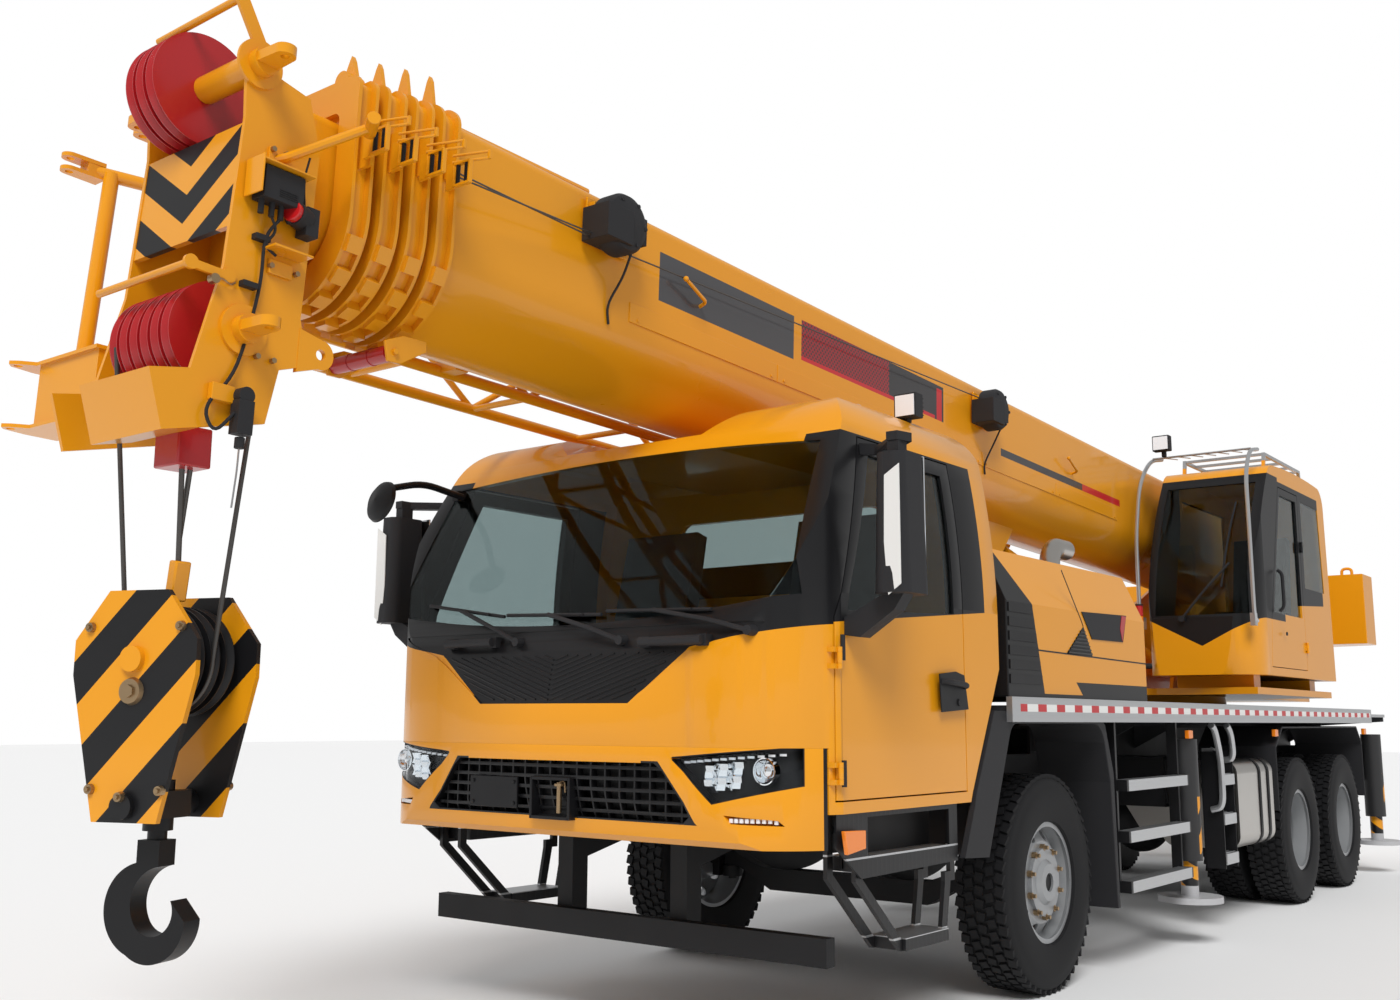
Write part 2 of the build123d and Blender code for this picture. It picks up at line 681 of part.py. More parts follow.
def disc_wheel(x, y, s, disc_y, hub_in, hub_out):
    # a rim with its disc and hub; s points outboard, disc_y and the hub's ends are measured from the wheel's middle
    half = tyre_w / 2 - 30
    bore = spindle_r + spindle_clear
    with BuildPart() as wheel:
        with BuildSketch(Plane(origin=(at(x), y, axle_z), x_dir=(0, s, 0), z_dir=(s, 0, 0))):
            Polygon((-half, rim_r), (half, rim_r), (half, rim_r - 26), (half - 20, rim_r - 20), (40, rim_r - 34),
                    (-half, rim_r - 22), align=None)
            Polygon((disc_y, rim_r - 20), (disc_y + disc_t, rim_r - 20), (disc_y + disc_t + 50, 200),
                    (disc_y + disc_t + 50, 120), (disc_y + 50, 120), (disc_y + 50, 200), align=None)
            Polygon((hub_in, bore), (hub_in, 120), (disc_y + 50, 165), (disc_y + disc_t + 70, 165),
                    (disc_y + disc_t + 70, 110), (hub_out, 90), (hub_out, bore), align=None)
        revolve(axis=Axis((at(x), 0, axle_z), (0, 1, 0)))
        # round openings in the disc
        with BuildSketch(side(y + s * (disc_y + 80))):
            with Locations((x, axle_z)):
                with PolarLocations(232, 10):
                    Circle(27)
        extrude(amount=s * 140, mode=Mode.SUBTRACT)
        with BuildSketch(side(y + s * (disc_y + 80))):
            with Locations((x, axle_z)):
                with PolarLocations(232, 10):
                    Circle(27)
        extrude(amount=-s * 30, mode=Mode.SUBTRACT)
    return wheel.part


def twin_wheel(x, s):
    # two rims and one hub: the outer disc is sunk, the inner one stands against it
    outer_y = s * rear_outer_y
    inner_y = s * (rear_outer_y - tyre_w - twin_gap)
    half = tyre_w / 2 - 30
    with BuildPart() as wheel:
        for y in (outer_y, inner_y):
            with BuildSketch(Plane(origin=(at(x), y, axle_z), x_dir=(0, s, 0), z_dir=(s, 0, 0))):
                Polygon((-half, rim_r), (half, rim_r), (half, rim_r - 26), (half - 20, rim_r - 20), (0, rim_r - 34),
                        (-half, rim_r - 22), align=None)
            revolve(axis=Axis((at(x), 0, axle_z), (0, 1, 0)))
        with BuildSketch(Plane(origin=(at(x), (outer_y + inner_y) / 2, axle_z), x_dir=(0, s, 0), z_dir=(s, 0, 0))):
            Polygon((-half, rim_r - 10), (-disc_t, 230), (-disc_t, 96), (disc_t, 96), (disc_t, 230), (half, rim_r - 10),
                    (half, rim_r - 30), (disc_t + 10, 170), (disc_t + 10, 150), (twin_gap + 110, 130),
                    (twin_gap + 110, 0), (-disc_t - 170, 0), (-disc_t - 170, 110), (-disc_t - 10, 170),
                    (-half, rim_r - 30), align=None)
        revolve(axis=Axis((at(x), 0, axle_z), (0, 1, 0)))
        with BuildSketch(side()):
            with Locations((x, axle_z)):
                Circle(rear_spindle_r + spindle_clear)
        extrude(amount=-s * rear_mid_y, mode=Mode.SUBTRACT)
    return wheel.part


front_hub_in = -90
front_hub_out = 125
for name, s in (("left", 1), ("right", -1)):
    tyre = tyre_ring(0, s * front_wheel_y)
    tyre.label = f"front_{name}_tyre"
    export_step(tyre, f"parts/front_{name}_tyre.step")
    rim = disc_wheel(0, s * front_wheel_y, s, 20, front_hub_in, front_hub_out)
    rim.label = f"front_{name}_rim"
    export_step(rim, f"parts/front_{name}_rim.step")
    # steering knuckle: a fork around the axle's end, and the spindle the wheel turns on
    with BuildPart() as knuckle:
        for dz in (45, -105):
            with BuildSketch(Plane.XY.offset(axle_z + dz)):
                with Locations((at(0), s * kingpin_y)):
                    Circle(58)
                    Circle(pin_r + pin_clear, mode=Mode.SUBTRACT)
            extrude(amount=60)
        with BuildSketch(side(s * (kingpin_y + 56))):
            with Locations((0, axle_z)):
                Rectangle(110, 210)
        extrude(amount=-s * 50)
        with BuildSketch(side(s * (kingpin_y + 100))):
            with Locations((0, axle_z)):
                Circle(spindle_r)
        extrude(amount=-s * (front_wheel_y - kingpin_y - 100 + front_hub_out - 12))
        # steering arm to the rear
        with BuildSketch(Plane.XY.offset(axle_z + 50)):
            Polygon((at(0), s * (kingpin_y + 40)), (at(0), s * (kingpin_y + 75)), (at(-215), s * (kingpin_y - 20)),
                    (at(-215), s * (kingpin_y - 60)), align=None)
        extrude(amount=30)
    knuckle.part.label = f"{name}_knuckle"
    export_step(knuckle.part, f"parts/{name}_knuckle.step")
    for k, x in enumerate(rear_axle_x):
        corner = f"{name}_{k + 2}"
        outer_y = s * rear_outer_y
        inner_y = s * (rear_outer_y - tyre_w - twin_gap)
        with BuildPart() as twin_tyres:
            add(tyre_ring(x, outer_y))
            add(tyre_ring(x, inner_y))
        twin_tyres.part.label = f"rear_{corner}_tyres"
        export_step(twin_tyres.part, f"parts/rear_{corner}_tyres.step")
        rims = twin_wheel(x, s)
        rims.label = f"rear_{corner}_rims"
        export_step(rims, f"parts/rear_{corner}_rims.step")

# Outrigger beams side by side in their boxes, each with its jack
jack_r = 72
jack_y = box_half + jack_r + 20
jack_rod_r = 52
jack_low = 489
jack_top = 1216
float_r = 190
float_z = 245
beam_inner = 1000
for name, s in (("left", 1), ("right", -1)):
    for place, x0 in (("front", outrigger_x[0]), ("rear", outrigger_x[1])):
        x = x0 + s * (beam_w + beam_gap) / 2
        with BuildPart() as beam:
            with BuildSketch(side(s * (box_half + 10))):
                with Locations((x, outrigger_z)):
                    Rectangle(beam_w, beam_h)
            extrude(amount=s * (box_half + 10 + beam_inner))
            with BuildSketch(Plane.XY.offset(jack_low)):
                with Locations((at(x), s * jack_y)):
                    Circle(jack_r + 12)
            extrude(amount=jack_top - jack_low)
            with BuildSketch(Plane.XY.offset(jack_low - 1)):
                with Locations((at(x), s * jack_y)):
                    Circle(jack_rod_r + slide_clear)
            extrude(amount=jack_top - jack_low - 20, mode=Mode.SUBTRACT)
        beam.part.label = f"{place}_{name}_beam"
        export_step(beam.part, f"parts/{place}_{name}_beam.step")
        with BuildPart() as jack:
            with BuildSketch(Plane.XY.offset(float_z)):
                with Locations((at(x), s * jack_y)):
                    Circle(jack_rod_r)
            extrude(amount=jack_top - 60 - float_z)
            with BuildSketch(Plane.XY.offset(float_z)):
                with Locations((at(x), s * jack_y)):
                    Circle(float_r)
            extrude(amount=36)
        jack.part.label = f"{place}_{name}_jack"
        export_step(jack.part, f"parts/{place}_{name}_jack.step")

# Superstructure: base plate, two side plates with the boom's pivot, and the bracket under the crane's cab
plate_in = 335
plate_t = 30
foot_pin_r = 70
ring_clear = slide_clear
cab2_front = -3560
cab2_rear = -5760
cab2_in = 440
cab2_out = 1230
cab2_low = 1660
cab2_top = 3290
cab2_mid = (cab2_in + cab2_out) / 2
cab2_half = (cab2_out - cab2_in) / 2
luff_foot = (-4700, 1790)
luff_lug = (4990, -270)
luff_pin_r = 45
weight_front = -7400
weight_low = 2056
weight_half = 1150
winch_axis = (-7170, 1870)
with BuildPart() as turntable:
    with BuildSketch(level(table_bottom)):
        Polygon((-3750, 420), (-3600, 1200), (-5700, 1200), (-5900, 560), (-7900, 480), (-7900, -480), (-5900, -560),
                (-5400, -900), (-4200, -900), (-3750, -420), align=None)
    extrude(amount=table_t)
    with BuildSketch(Plane.XY.offset(seat_top + ring_clear)):
        with Locations((at(slew_x), 0)):
            Circle(seat_r - 10)
    extrude(amount=table_bottom - seat_top - ring_clear)
    for s in (1, -1):
        with BuildSketch(side(s * (plate_in + plate_t / 2))):
            Polygon((-4250, table_bottom), (-4450, 1980), (-6300, 2680), (-6560, 2750), (-6760, 2750), (-6860, 2600),
                    (-7000, 2150), (weight_front + 40, 2040), (-7900, 2040), (-7900, table_bottom), align=None)
        extrude(amount=plate_t / 2, both=True)
        with BuildSketch(side(s * (plate_in + plate_t / 2))):
            with Locations((boom_foot_x, boom_foot_z)):
                Circle(150)
        extrude(amount=plate_t / 2 + 12, both=True)
    # pins of the boom's foot and of the luffing cylinder's foot
    with BuildSketch(side()):
        with Locations((boom_foot_x, boom_foot_z)):
            Circle(foot_pin_r)
        with Locations(luff_foot):
            Circle(luff_pin_r)
    extrude(amount=plate_in + plate_t, both=True)
    # feet under the crane's cab
    with BuildSketch(level(table_bottom + table_t)):
        with Locations((-3900, cab2_mid), (-5450, cab2_mid)):
            Rectangle(160, 560)
    extrude(amount=cab2_low - table_bottom - table_t)
    # seat under the counterweight
    with BuildSketch(level(1990)):
        Polygon((weight_front - 30, 420), (weight_front - 30, -420), (-7900, -420), (-7900, 420), align=None)
    extrude(amount=weight_low - 1990)
turntable.part.label = "turntable"
export_step(turntable.part, "parts/turntable.step")

with BuildPart() as counterweight:
    with BuildSketch(level(weight_low)):
        with Locations((slew_x, 0)):
            Circle(tail_radius)
        with Locations((weight_front - 1000, 0)):
            Rectangle(2000, 2 * weight_half, mode=Mode.INTERSECT)
    extrude(amount=660)
counterweight.part.label = "counterweight"
export_step(counterweight.part, "parts/counterweight.step")

with BuildPart() as winch:
    with BuildSketch(side()):
        with Locations(winch_axis):
            Circle(150)
    extrude(amount=plate_in - 60, both=True)
    for s in (1, -1):
        with BuildSketch(side(s * (plate_in - 70))):
            with Locations(winch_axis):
                Circle(225)
        extrude(amount=10, both=True)
    with BuildSketch(side()):
        with Locations(winch_axis):
            Circle(50)
    extrude(amount=plate_in - slide_clear, both=True)
winch.part.label = "winch"
export_step(winch.part, "parts/winch.step")


def crane_cab_solid(inset):
    # the crane's cab: its side view and its plan meet
    k = inset
    with BuildPart() as solid:
        with BuildSketch(side(cab2_mid)):
            with BuildLine():
                Line((cab2_front - k, cab2_low + k), (cab2_front - 20 - k, 2080))
                ThreePointArc((cab2_front - 20 - k, 2080), (-3745 - k, 2660), (-4040 - k, 3160 - k / 2))
                ThreePointArc((-4040 - k, 3160 - k / 2), (-4110 - k, 3238 - k), (-4230, cab2_top - 20 - k))
                ThreePointArc((-4230, cab2_top - 20 - k), (-4900, cab2_top - k), (-5560, cab2_top - 20 - k))
                ThreePointArc((-5560, cab2_top - 20 - k), (-5655 + k * 0.7, 3215 - k * 0.7), (cab2_rear + 60 + k, 3100))
                Polyline((cab2_rear + 60 + k, 3100), (cab2_rear + k, cab2_low + k), (cab2_front - k, cab2_low + k))
            make_face()
        extrude(amount=cab2_half + 20, both=True)
        with BuildSketch(level(cab2_low - 10)):
            with BuildLine():
                Line((cab2_rear - 50, cab2_in + k), (cab2_front - 60, cab2_in + k))
                ThreePointArc((cab2_front - 60, cab2_in + k), (cab2_front - 16 - k, cab2_in + 34 + k),
                              (cab2_front - k, cab2_in + 90))
                Line((cab2_front - k, cab2_in + 90), (cab2_front - k, cab2_out - 270))
                ThreePointArc((cab2_front - k, cab2_out - 270), (cab2_front - 79 - k * 0.7, cab2_out - 79 - k * 0.7),
                              (cab2_front - 270, cab2_out - k))
                Polyline((cab2_front - 270, cab2_out - k), (cab2_rear - 50, cab2_out - k), (cab2_rear - 50, cab2_in + k))
            make_face()
        extrude(amount=2000, mode=Mode.INTERSECT)
    return solid.part


cab2_wall = 35
door2 = [(-3900, 1720), (-3960, 2080), (-4330, 3120), (-4880, 3120), (-4880, 1720)]
door2_hinge_x = -4877
door2_hinge_z = [1900, 2700]
door2_pane = [(-4030, 2130), (-4360, 3060), (-4820, 3060), (-4820, 2130)]
crane_cab_outer = crane_cab_solid(0)
crane_pane_outer = crane_cab_solid(4)
crane_pane_inner = crane_cab_solid(10)


def crane_windows(clear):
    # the openings of the front, the right side and the left side behind the door
    k = clear
    with BuildPart() as openings:
        with BuildSketch(across(cab2_front - 700)):
            Polygon((cab2_in + 55 + k, 2100 + k), (cab2_out - 70 - k, 2100 + k), (cab2_out - 70 - k, 3120 - k),
                    (cab2_in + 55 + k, 3120 - k), align=None)
        extrude(amount=800)
        with BuildSketch(side(cab2_in + 60)):
            Polygon((-4080 - k, 2130 + k), (-4390 - k, 3080 - k), (-5500 + k, 3080 - k), (-5500 + k, 2130 + k), align=None)
        extrude(amount=80)
        with BuildSketch(side(cab2_out + 20)):
            Polygon((-4960 - k, 2380 + k), (-4960 - k, 3080 - k), (-5500 + k, 3080 - k), (-5560 + k, 2380 + k), align=None)
        extrude(amount=80)
    return openings.part


with BuildPart() as crane_cab:
    add(crane_cab_outer)
    add(crane_cab_solid(cab2_wall), mode=Mode.SUBTRACT)
    with BuildSketch(side(cab2_out)):
        Polygon(*door2, align=None)
    extrude(amount=60, both=True, mode=Mode.SUBTRACT)
    add(crane_windows(0), mode=Mode.SUBTRACT)
    for z in door2_hinge_z:
        add(hinge_barrel(door2_hinge_x, cab2_out, 1, z, -1, True))
    # the crane driver's seat, and the control desk in front of it
    with BuildSketch(side(cab2_mid)):
        Polygon((-4700, cab2_low + cab2_wall), (-4700, 2050), (-4600, 2110), (-4600, 2190), (-5060, 2180),
                (-5210, 2830), (-5300, 2810), (-5180, 2060), (-5080, 2010), (-5080, cab2_low + cab2_wall), align=None)
    extrude(amount=210, both=True)
    with BuildSketch(side(cab2_mid)):
        Polygon((-3740, cab2_low + cab2_wall), (-3740, 2060), (-3850, 2120), (-3960, 2000), (-3900, cab2_low + cab2_wall),
                align=None)
    extrude(amount=140, both=True)
    # guard rails over the roof
    for y in (cab2_in + 90, cab2_out - 90):
        with BuildSketch(side(y)):
            Polygon((-4300, cab2_top - 40), (-4330, 3400), (-5350, 3400), (-5380, cab2_top - 40), (-5355, cab2_top - 40),
                    (-5328, 3376), (-4352, 3376), (-4325, cab2_top - 40), align=None)
        extrude(amount=12, both=True)
    for x in (-4345, -4590, -4840, -5090, -5335):
        with BuildSketch(across(x - 12)):
            with Locations((cab2_mid, 3388)):
                Rectangle(2 * cab2_half - 180, 20)
        extrude(amount=24)
crane_cab.part.label = "crane_cab"
export_step(crane_cab.part, "parts/crane_cab.step")

with BuildPart() as crane_cab_door:
    with BuildSketch(side(cab2_out)):
        offset(Polygon(*door2, align=None, mode=Mode.PRIVATE), amount=-6)
        Polygon(*door2_pane, align=None, mode=Mode.SUBTRACT)
    extrude(amount=cab2_wall)
    for z in door2_hinge_z:
        add(hinge_barrel(door2_hinge_x, cab2_out, 1, z, 1, False))
crane_cab_door.part.label = "crane_cab_door"
export_step(crane_cab_door.part, "parts/crane_cab_door.step")

# Boom: five sections inside each other, each with its collar, and the head on the last
pad_gap = 0.3
top_corner_r = 42
fin_top_w = [857, 834, 803, 778]


def section_outline(k, grow):
    # flat top and upper sides over a rounded bottom, for section k, grown outward
    w = section_w[k] / 2 + grow
    top = boom_top_w - 410 + section_h[k] / 2 + grow
    low = boom_top_w - 410 - section_h[k] / 2 - grow
    bend = low + w
    r = max(top_corner_r + grow, 12)
    q = r * (1 - sqrt(0.5))
    with BuildSketch() as outline:
        with BuildLine():
            Line((-w, bend), (-w, top - r))
            ThreePointArc((-w, top - r), (q - w, top - q), (r - w, top))
            Line((r - w, top), (w - r, top))
            ThreePointArc((w - r, top), (w - q, top - q), (w, top - r))
            Line((w, top - r), (w, bend))
            ThreePointArc((w, bend), (0, low), (-w, bend))
        make_face()
    return outline.sketch


def boom_tube(k, u0, u1):
    with BuildPart() as tube:
        plane = boom_cut(u0)
        extrude(plane * section_outline(k, 0), amount=u1 - u0)
        extrude(plane * section_outline(k, -boom_wall), amount=u1 - u0, mode=Mode.SUBTRACT)
    return tube.part


collar_grow = 46
flange_t = 14
sheave_pin_r = 48
for k in range(4):
    u_collar = base_collar_u + k * collar_pitch
    u_tail = boom_tail_u if k == 0 else 300 + 120 * k
    with BuildPart() as section:
        add(boom_tube(k, u_tail, u_collar + collar_len))
        # the collar: a flange all round and a deeper rib under the rounded part
        plane = boom_cut(u_collar)
        grow = collar_grow - 12 * k
        extrude(plane * section_outline(0, grow), amount=flange_t)
        extrude(boom_cut(u_collar + collar_len - flange_t) * section_outline(0, grow - 6), amount=flange_t)
        extrude(plane * section_outline(0, grow - 26), amount=collar_len)
        extrude(plane * section_outline(k, -boom_wall), amount=collar_len, mode=Mode.SUBTRACT)
        # guide blocks stepped round the rounded part
        for angle in (-64, -42, -20, 2, 24, 46, 68):
            with BuildSketch(boom_cut(u_collar + 12)):
                with Locations((0, section_w[0] / 2 - 160)):
                    with PolarLocations(section_w[0] / 2 + grow - 14, 1, start_angle=angle - 90):
                        Rectangle(48, 62)
            extrude(amount=collar_len - 24)
        # fin, cylinder boss and cable guide on the upper left
        with BuildSketch(boom_cut(u_collar + 30)):
            Polygon((150, boom_top_w - 20), (160, boom_top_w + grow + 20), (190, fin_top_w[k] - 22),
                    (202, fin_top_w[k]), (214, fin_top_w[k] - 22), (238, boom_top_w + grow + 10), (244, boom_top_w - 20),
                    align=None)
        extrude(amount=16)
        with BuildSketch(boom_cut(u_collar + 4)):
            with Locations((198, boom_top_w + grow - 4)):
                Circle(38)
        extrude(amount=collar_len - 8)
        extrude(plane * section_outline(k, -boom_wall), amount=collar_len, mode=Mode.SUBTRACT)
        with BuildSketch(boom_side(section_w[0] / 2 + grow + 40)):
            with Locations((u_collar + collar_len / 2, 470 - 28 * k)):
                Rectangle(14, 150)
        extrude(amount=80)
        # slide pads between this section's mouth and the next section
        extrude(plane * section_outline(k, -boom_wall), amount=60)
        extrude(plane * section_outline(k + 1, pad_gap), amount=60, mode=Mode.SUBTRACT)
        if k == 0:
            # foot of the boom with its bush, and the luffing cylinder's lugs
            with BuildSketch(boom_side()):
                Circle(foot_pin_r + 45)
            extrude(amount=plate_in - 18, both=True)
            with BuildSketch(boom_side()):
                Circle(foot_pin_r + pin_clear)
            extrude(amount=plate_in, both=True, mode=Mode.SUBTRACT)
            for s in (1, -1):
                with BuildSketch(boom_side(s * 130)):
                    Polygon((luff_lug[0] - 260, -115), (luff_lug[0] - 90, -300), (luff_lug[0] - 40, -360),
                            (luff_lug[0] + 40, -360), (luff_lug[0] + 90, -300), (luff_lug[0] + 260, -115), align=None)
                extrude(amount=18, both=True)
            with BuildSketch(boom_side()):
                with Locations(luff_lug):
                    Circle(luff_pin_r)
            extrude(amount=148, both=True)
    section.part.label = f"boom_{k + 1}"
    export_step(section.part, f"parts/boom_{k + 1}.step")

tongue_t = 34
tongue_hole_y = 444
tongue_hole_r = 15
with BuildPart() as boom_head:
    add(boom_tube(4, 900, 10561))
    for s in (1, -1):
        with BuildSketch(boom_side(s * (head_half - head_plate / 2))):
            Polygon((10595, 482), (10850, 531), (10834, 322), (10860, -200), (10940, -560), (nose_u, nose_w),
                    (11016, -772), (10661, -681), (10626, -491), (10541, -460), (10530, -400), (10560, -300),
                    (10540, 300), align=None)
        extrude(amount=head_plate / 2, both=True)
    # front plate, cross-plates and sheave pins
    with BuildSketch(boom_side()):
        Polygon((10810, 305), (10832, 305), (10850, -60), (10828, -60), align=None)
        Polygon((10541, 300), (10561, 300), (10568, -100), (10548, -100), align=None)
    extrude(amount=head_half - head_plate / 2, both=True)
    with BuildSketch(boom_side()):
        with Locations(upper_axis, lower_axis):
            Circle(sheave_pin_r)
    extrude(amount=head_half + 40, both=True)
    # guard rods in front of the sheaves, on links at the left plate
    for (u0, w0), (u1, w1), y1 in (((10790, 560), (10890, 722), -200), ((10840, -230), (10975, -225), -250)):
        with BuildSketch(boom_side(head_half + 6)):
            with Locations((u0, w0), (u1, w1)):
                Circle(24)
            Polygon((u0 - 22, w0 + 10), (u1 - 22, w1 + 10), (u1 + 18, w1 - 16), (u0 + 18, w0 - 16), align=None)
        extrude(amount=14)
        with BuildSketch(boom_side(head_half)):
            with Locations((u1, w1)):
                Circle(13)
        extrude(amount=head_half - y1)
    # tongues for the jib's forks: a flange, a boss and a flat end with an upright hole, on each side
    for s in (1, -1):
        for axis_u, axis_w in (upper_axis, lower_axis):
            with BuildSketch(boom_side(s * head_half)):
                with Locations((axis_u, axis_w)):
                    Circle(84)
            extrude(amount=-s * 12)
            with BuildSketch(boom_side(s * head_half)):
                with Locations((axis_u, axis_w)):
                    Circle(sheave_pin_r)
            extrude(amount=-s * 50)
            with BuildSketch(Plane(origin=boom_point(axis_u, axis_w - tongue_t / 2), x_dir=(ca, 0, sa), z_dir=(-sa, 0, ca))):
                Polygon((-42, s * (head_half + 10)), (42, s * (head_half + 10)), (36, s * tongue_hole_y),
                        (-36, s * tongue_hole_y), align=None)
                with Locations((0, s * tongue_hole_y)):
                    Circle(36)
                    Circle(tongue_hole_r, mode=Mode.SUBTRACT)
            extrude(amount=tongue_t)
    # ear behind the head's lower end
    for s in (1, -1):
        with BuildSketch(boom_side(s * (head_half - head_plate / 2))):
            with Locations((10470, -400)):
                Circle(52)
            Polygon((10560, -330), (10470, -348), (10430, -430), (10480, -452), (10560, -480), align=None)
            with Locations((10470, -400)):
                Circle(19, mode=Mode.SUBTRACT)
        extrude(amount=10, both=True)
    # trough at the bottom of the head, on the left of the front fall
    with BuildSketch(boom_side(head_half - head_plate)):
        Polygon((10880, -737), (11016, -772), (nose_u, nose_w), (nose_u - 16, nose_w), (11004, -755),
                (10884, -721), align=None)
    extrude(amount=head_half - head_plate + 110)
boom_head.part.label = "boom_5_head"
export_step(boom_head.part, "parts/boom_5_head.step")


def sheave(axis_u, axis_w, y, radius, width, bore):
    with BuildPart() as wheel:
        with BuildSketch(Plane(origin=boom_point(axis_u, axis_w, y), x_dir=(0, 1, 0), z_dir=(ca, 0, sa))):
            Polygon((-width / 2, bore), (-width / 2, radius), (-groove_half, radius), (-2, radius - groove_deep),
                    (2, radius - groove_deep), (groove_half, radius), (width / 2, radius), (width / 2, bore), align=None)
        revolve(axis=Axis(boom_point(axis_u, axis_w, y), (0, 1, 0)))
    return wheel.part


sheave_w = 46
sheave_pitch = 62
groove_half = 19
groove_deep = 24
upper_y = -155
lower_y = -155
lower_sheave_r = 185
with BuildPart() as head_sheaves:
    for k in range(3):
        add(sheave(*upper_axis, upper_y + sheave_pitch * k, head_sheave_r, sheave_w, sheave_pin_r + slide_clear))
    for k in range(6):
        add(sheave(*lower_axis, lower_y + sheave_pitch * k, lower_sheave_r, sheave_w, sheave_pin_r + slide_clear))
head_sheaves.part.label = "head_sheaves"
export_step(head_sheaves.part, "parts/head_sheaves.step")

# Luffing cylinder between the turntable and the boom
foot = Vector(at(luff_foot[0]), 0, luff_foot[1])
eye = Vector(*boom_point(*luff_lug))
luff_line = (eye - foot).normalized()
luff_length = (eye - foot).length
barrel_r = 120
rod_r = 85
barrel_len = luff_length - 260
luff_plane = Plane(origin=foot, x_dir=(0, 1, 0), z_dir=luff_line)
with BuildPart() as luff_barrel:
    with BuildSketch(luff_plane.offset(90)):
        Circle(barrel_r)
        Circle(rod_r + slide_clear, mode=Mode.SUBTRACT)
    extrude(amount=barrel_len - 90)
    with BuildSketch(luff_plane.offset(70)):
        Circle(barrel_r)
    extrude(amount=100)
    with BuildSketch(side()):
        with Locations(luff_foot):
            Circle(95)
    extrude(amount=90, both=True)
    with BuildSketch(side()):
        with Locations(luff_foot):
            Circle(luff_pin_r + pin_clear)
    extrude(amount=100, both=True, mode=Mode.SUBTRACT)
luff_barrel.part.label = "luff_barrel"
export_step(luff_barrel.part, "parts/luff_barrel.step")

with BuildPart() as luff_rod:
    with BuildSketch(luff_plane.offset(250)):
        Circle(rod_r)
    extrude(amount=luff_length - 250 - 60)
    with BuildSketch(Plane(origin=eye, x_dir=(1, 0, 0), z_dir=(0, -1, 0))):
        Circle(92)
    extrude(amount=95, both=True)
    with BuildSketch(Plane(origin=eye, x_dir=(1, 0, 0), z_dir=(0, -1, 0))):
        Circle(luff_pin_r + pin_clear)
    extrude(amount=100, both=True, mode=Mode.SUBTRACT)
luff_rod.part.label = "luff_rod"
export_step(luff_rod.part, "parts/luff_rod.step")

# Hook block, hanging plumb below the lower sheaves, turned a little about the upright
hang = Vector(*boom_point(*lower_axis))
block_turn = 20
block_top = 1715
block_low = 1001
block_plate = 20
block_half_t = 150
block_axis_z = 1500
block_sheave_r = 178
crosshead_z = 1050
crosshead_h = 84
shank_r = 30
face = Vector(cos(radians(block_turn)), sin(radians(block_turn)), 0)
across_face = Vector(-sin(radians(block_turn)), cos(radians(block_turn)), 0)


def block_plane(t, z=0):
    # a plane parallel to the block's face plates: local x across the block, local y up
    return Plane(origin=Vector(hang.X, 0, z) + face * t, x_dir=across_face, z_dir=face)


block_outline = [(-120, block_low), (120, block_low), (230, 1450), (230, 1560), (110, block_top), (-110, block_top),
                 (-230, 1560), (-230, 1450)]
with BuildPart() as hook_block:
    for t in (block_half_t, -block_half_t):
        with BuildSketch(block_plane(t)):
            Polygon(*block_outline, align=None)
        extrude(amount=block_plate / 2, both=True)
    with BuildSketch(block_plane(0)):
        with Locations((0, block_axis_z), (0, crosshead_z)):
            Circle(40)
    extrude(amount=block_half_t + 30, both=True)
    for t in (-75, 0, 75):
        with BuildSketch(Plane(origin=Vector(hang.X, 0, block_axis_z) + face * t, x_dir=face, z_dir=across_face)):
            Polygon((-23, 38), (-23, block_sheave_r), (-groove_half, block_sheave_r), (-2, block_sheave_r - groove_deep),
                    (2, block_sheave_r - groove_deep), (groove_half, block_sheave_r), (23, block_sheave_r), (23, 38),
                    align=None)
        revolve(axis=Axis(Vector(hang.X, 0, block_axis_z), face))
    # crosshead that the hook's shank turns in
    with BuildSketch(block_plane(0)):
        with Locations((0, crosshead_z)):
            Rectangle(130, crosshead_h)
    extrude(amount=70, both=True)
    with BuildSketch(Plane.XY.offset(crosshead_z - crosshead_h)):
        with Locations((hang.X, 0)):
            Circle(shank_r + pin_clear)
    extrude(amount=2 * crosshead_h, mode=Mode.SUBTRACT)
hook_block.part.label = "hook_block"
export_step(hook_block.part, "parts/hook_block.step")

with BuildPart() as hook:
    with BuildSketch(Plane.XY.offset(900)):
        with Locations((hang.X, 0)):
            Circle(shank_r)
    extrude(amount=crosshead_z + crosshead_h / 2 + 30 - 900)
    # collar under the crosshead and nut above it
    for z, r, h in ((crosshead_z - crosshead_h / 2 - slide_clear - 40, 46, 40),
                    (crosshead_z + crosshead_h / 2 + slide_clear, 44, 32)):
        with BuildSketch(Plane.XY.offset(z)):
            with Locations((hang.X, 0)):
                Circle(r)
        extrude(amount=h)
    with BuildSketch(block_plane(0)):
        with BuildLine():
            Polyline((-42, 940), (-42, 870))
            ThreePointArc((-42, 870), (-150, 760), (-60, 590))
            ThreePointArc((-60, 590), (80, 580), (150, 700))
            Polyline((150, 700), (95, 760))
            ThreePointArc((95, 760), (40, 650), (-40, 690))
            ThreePointArc((-40, 690), (-50, 780), (42, 860))
            Polyline((42, 860), (42, 940), (-42, 940))
        make_face()
    extrude(amount=38, both=True)
hook.part.label = "hook"
export_step(hook.part, "parts/hook.step")

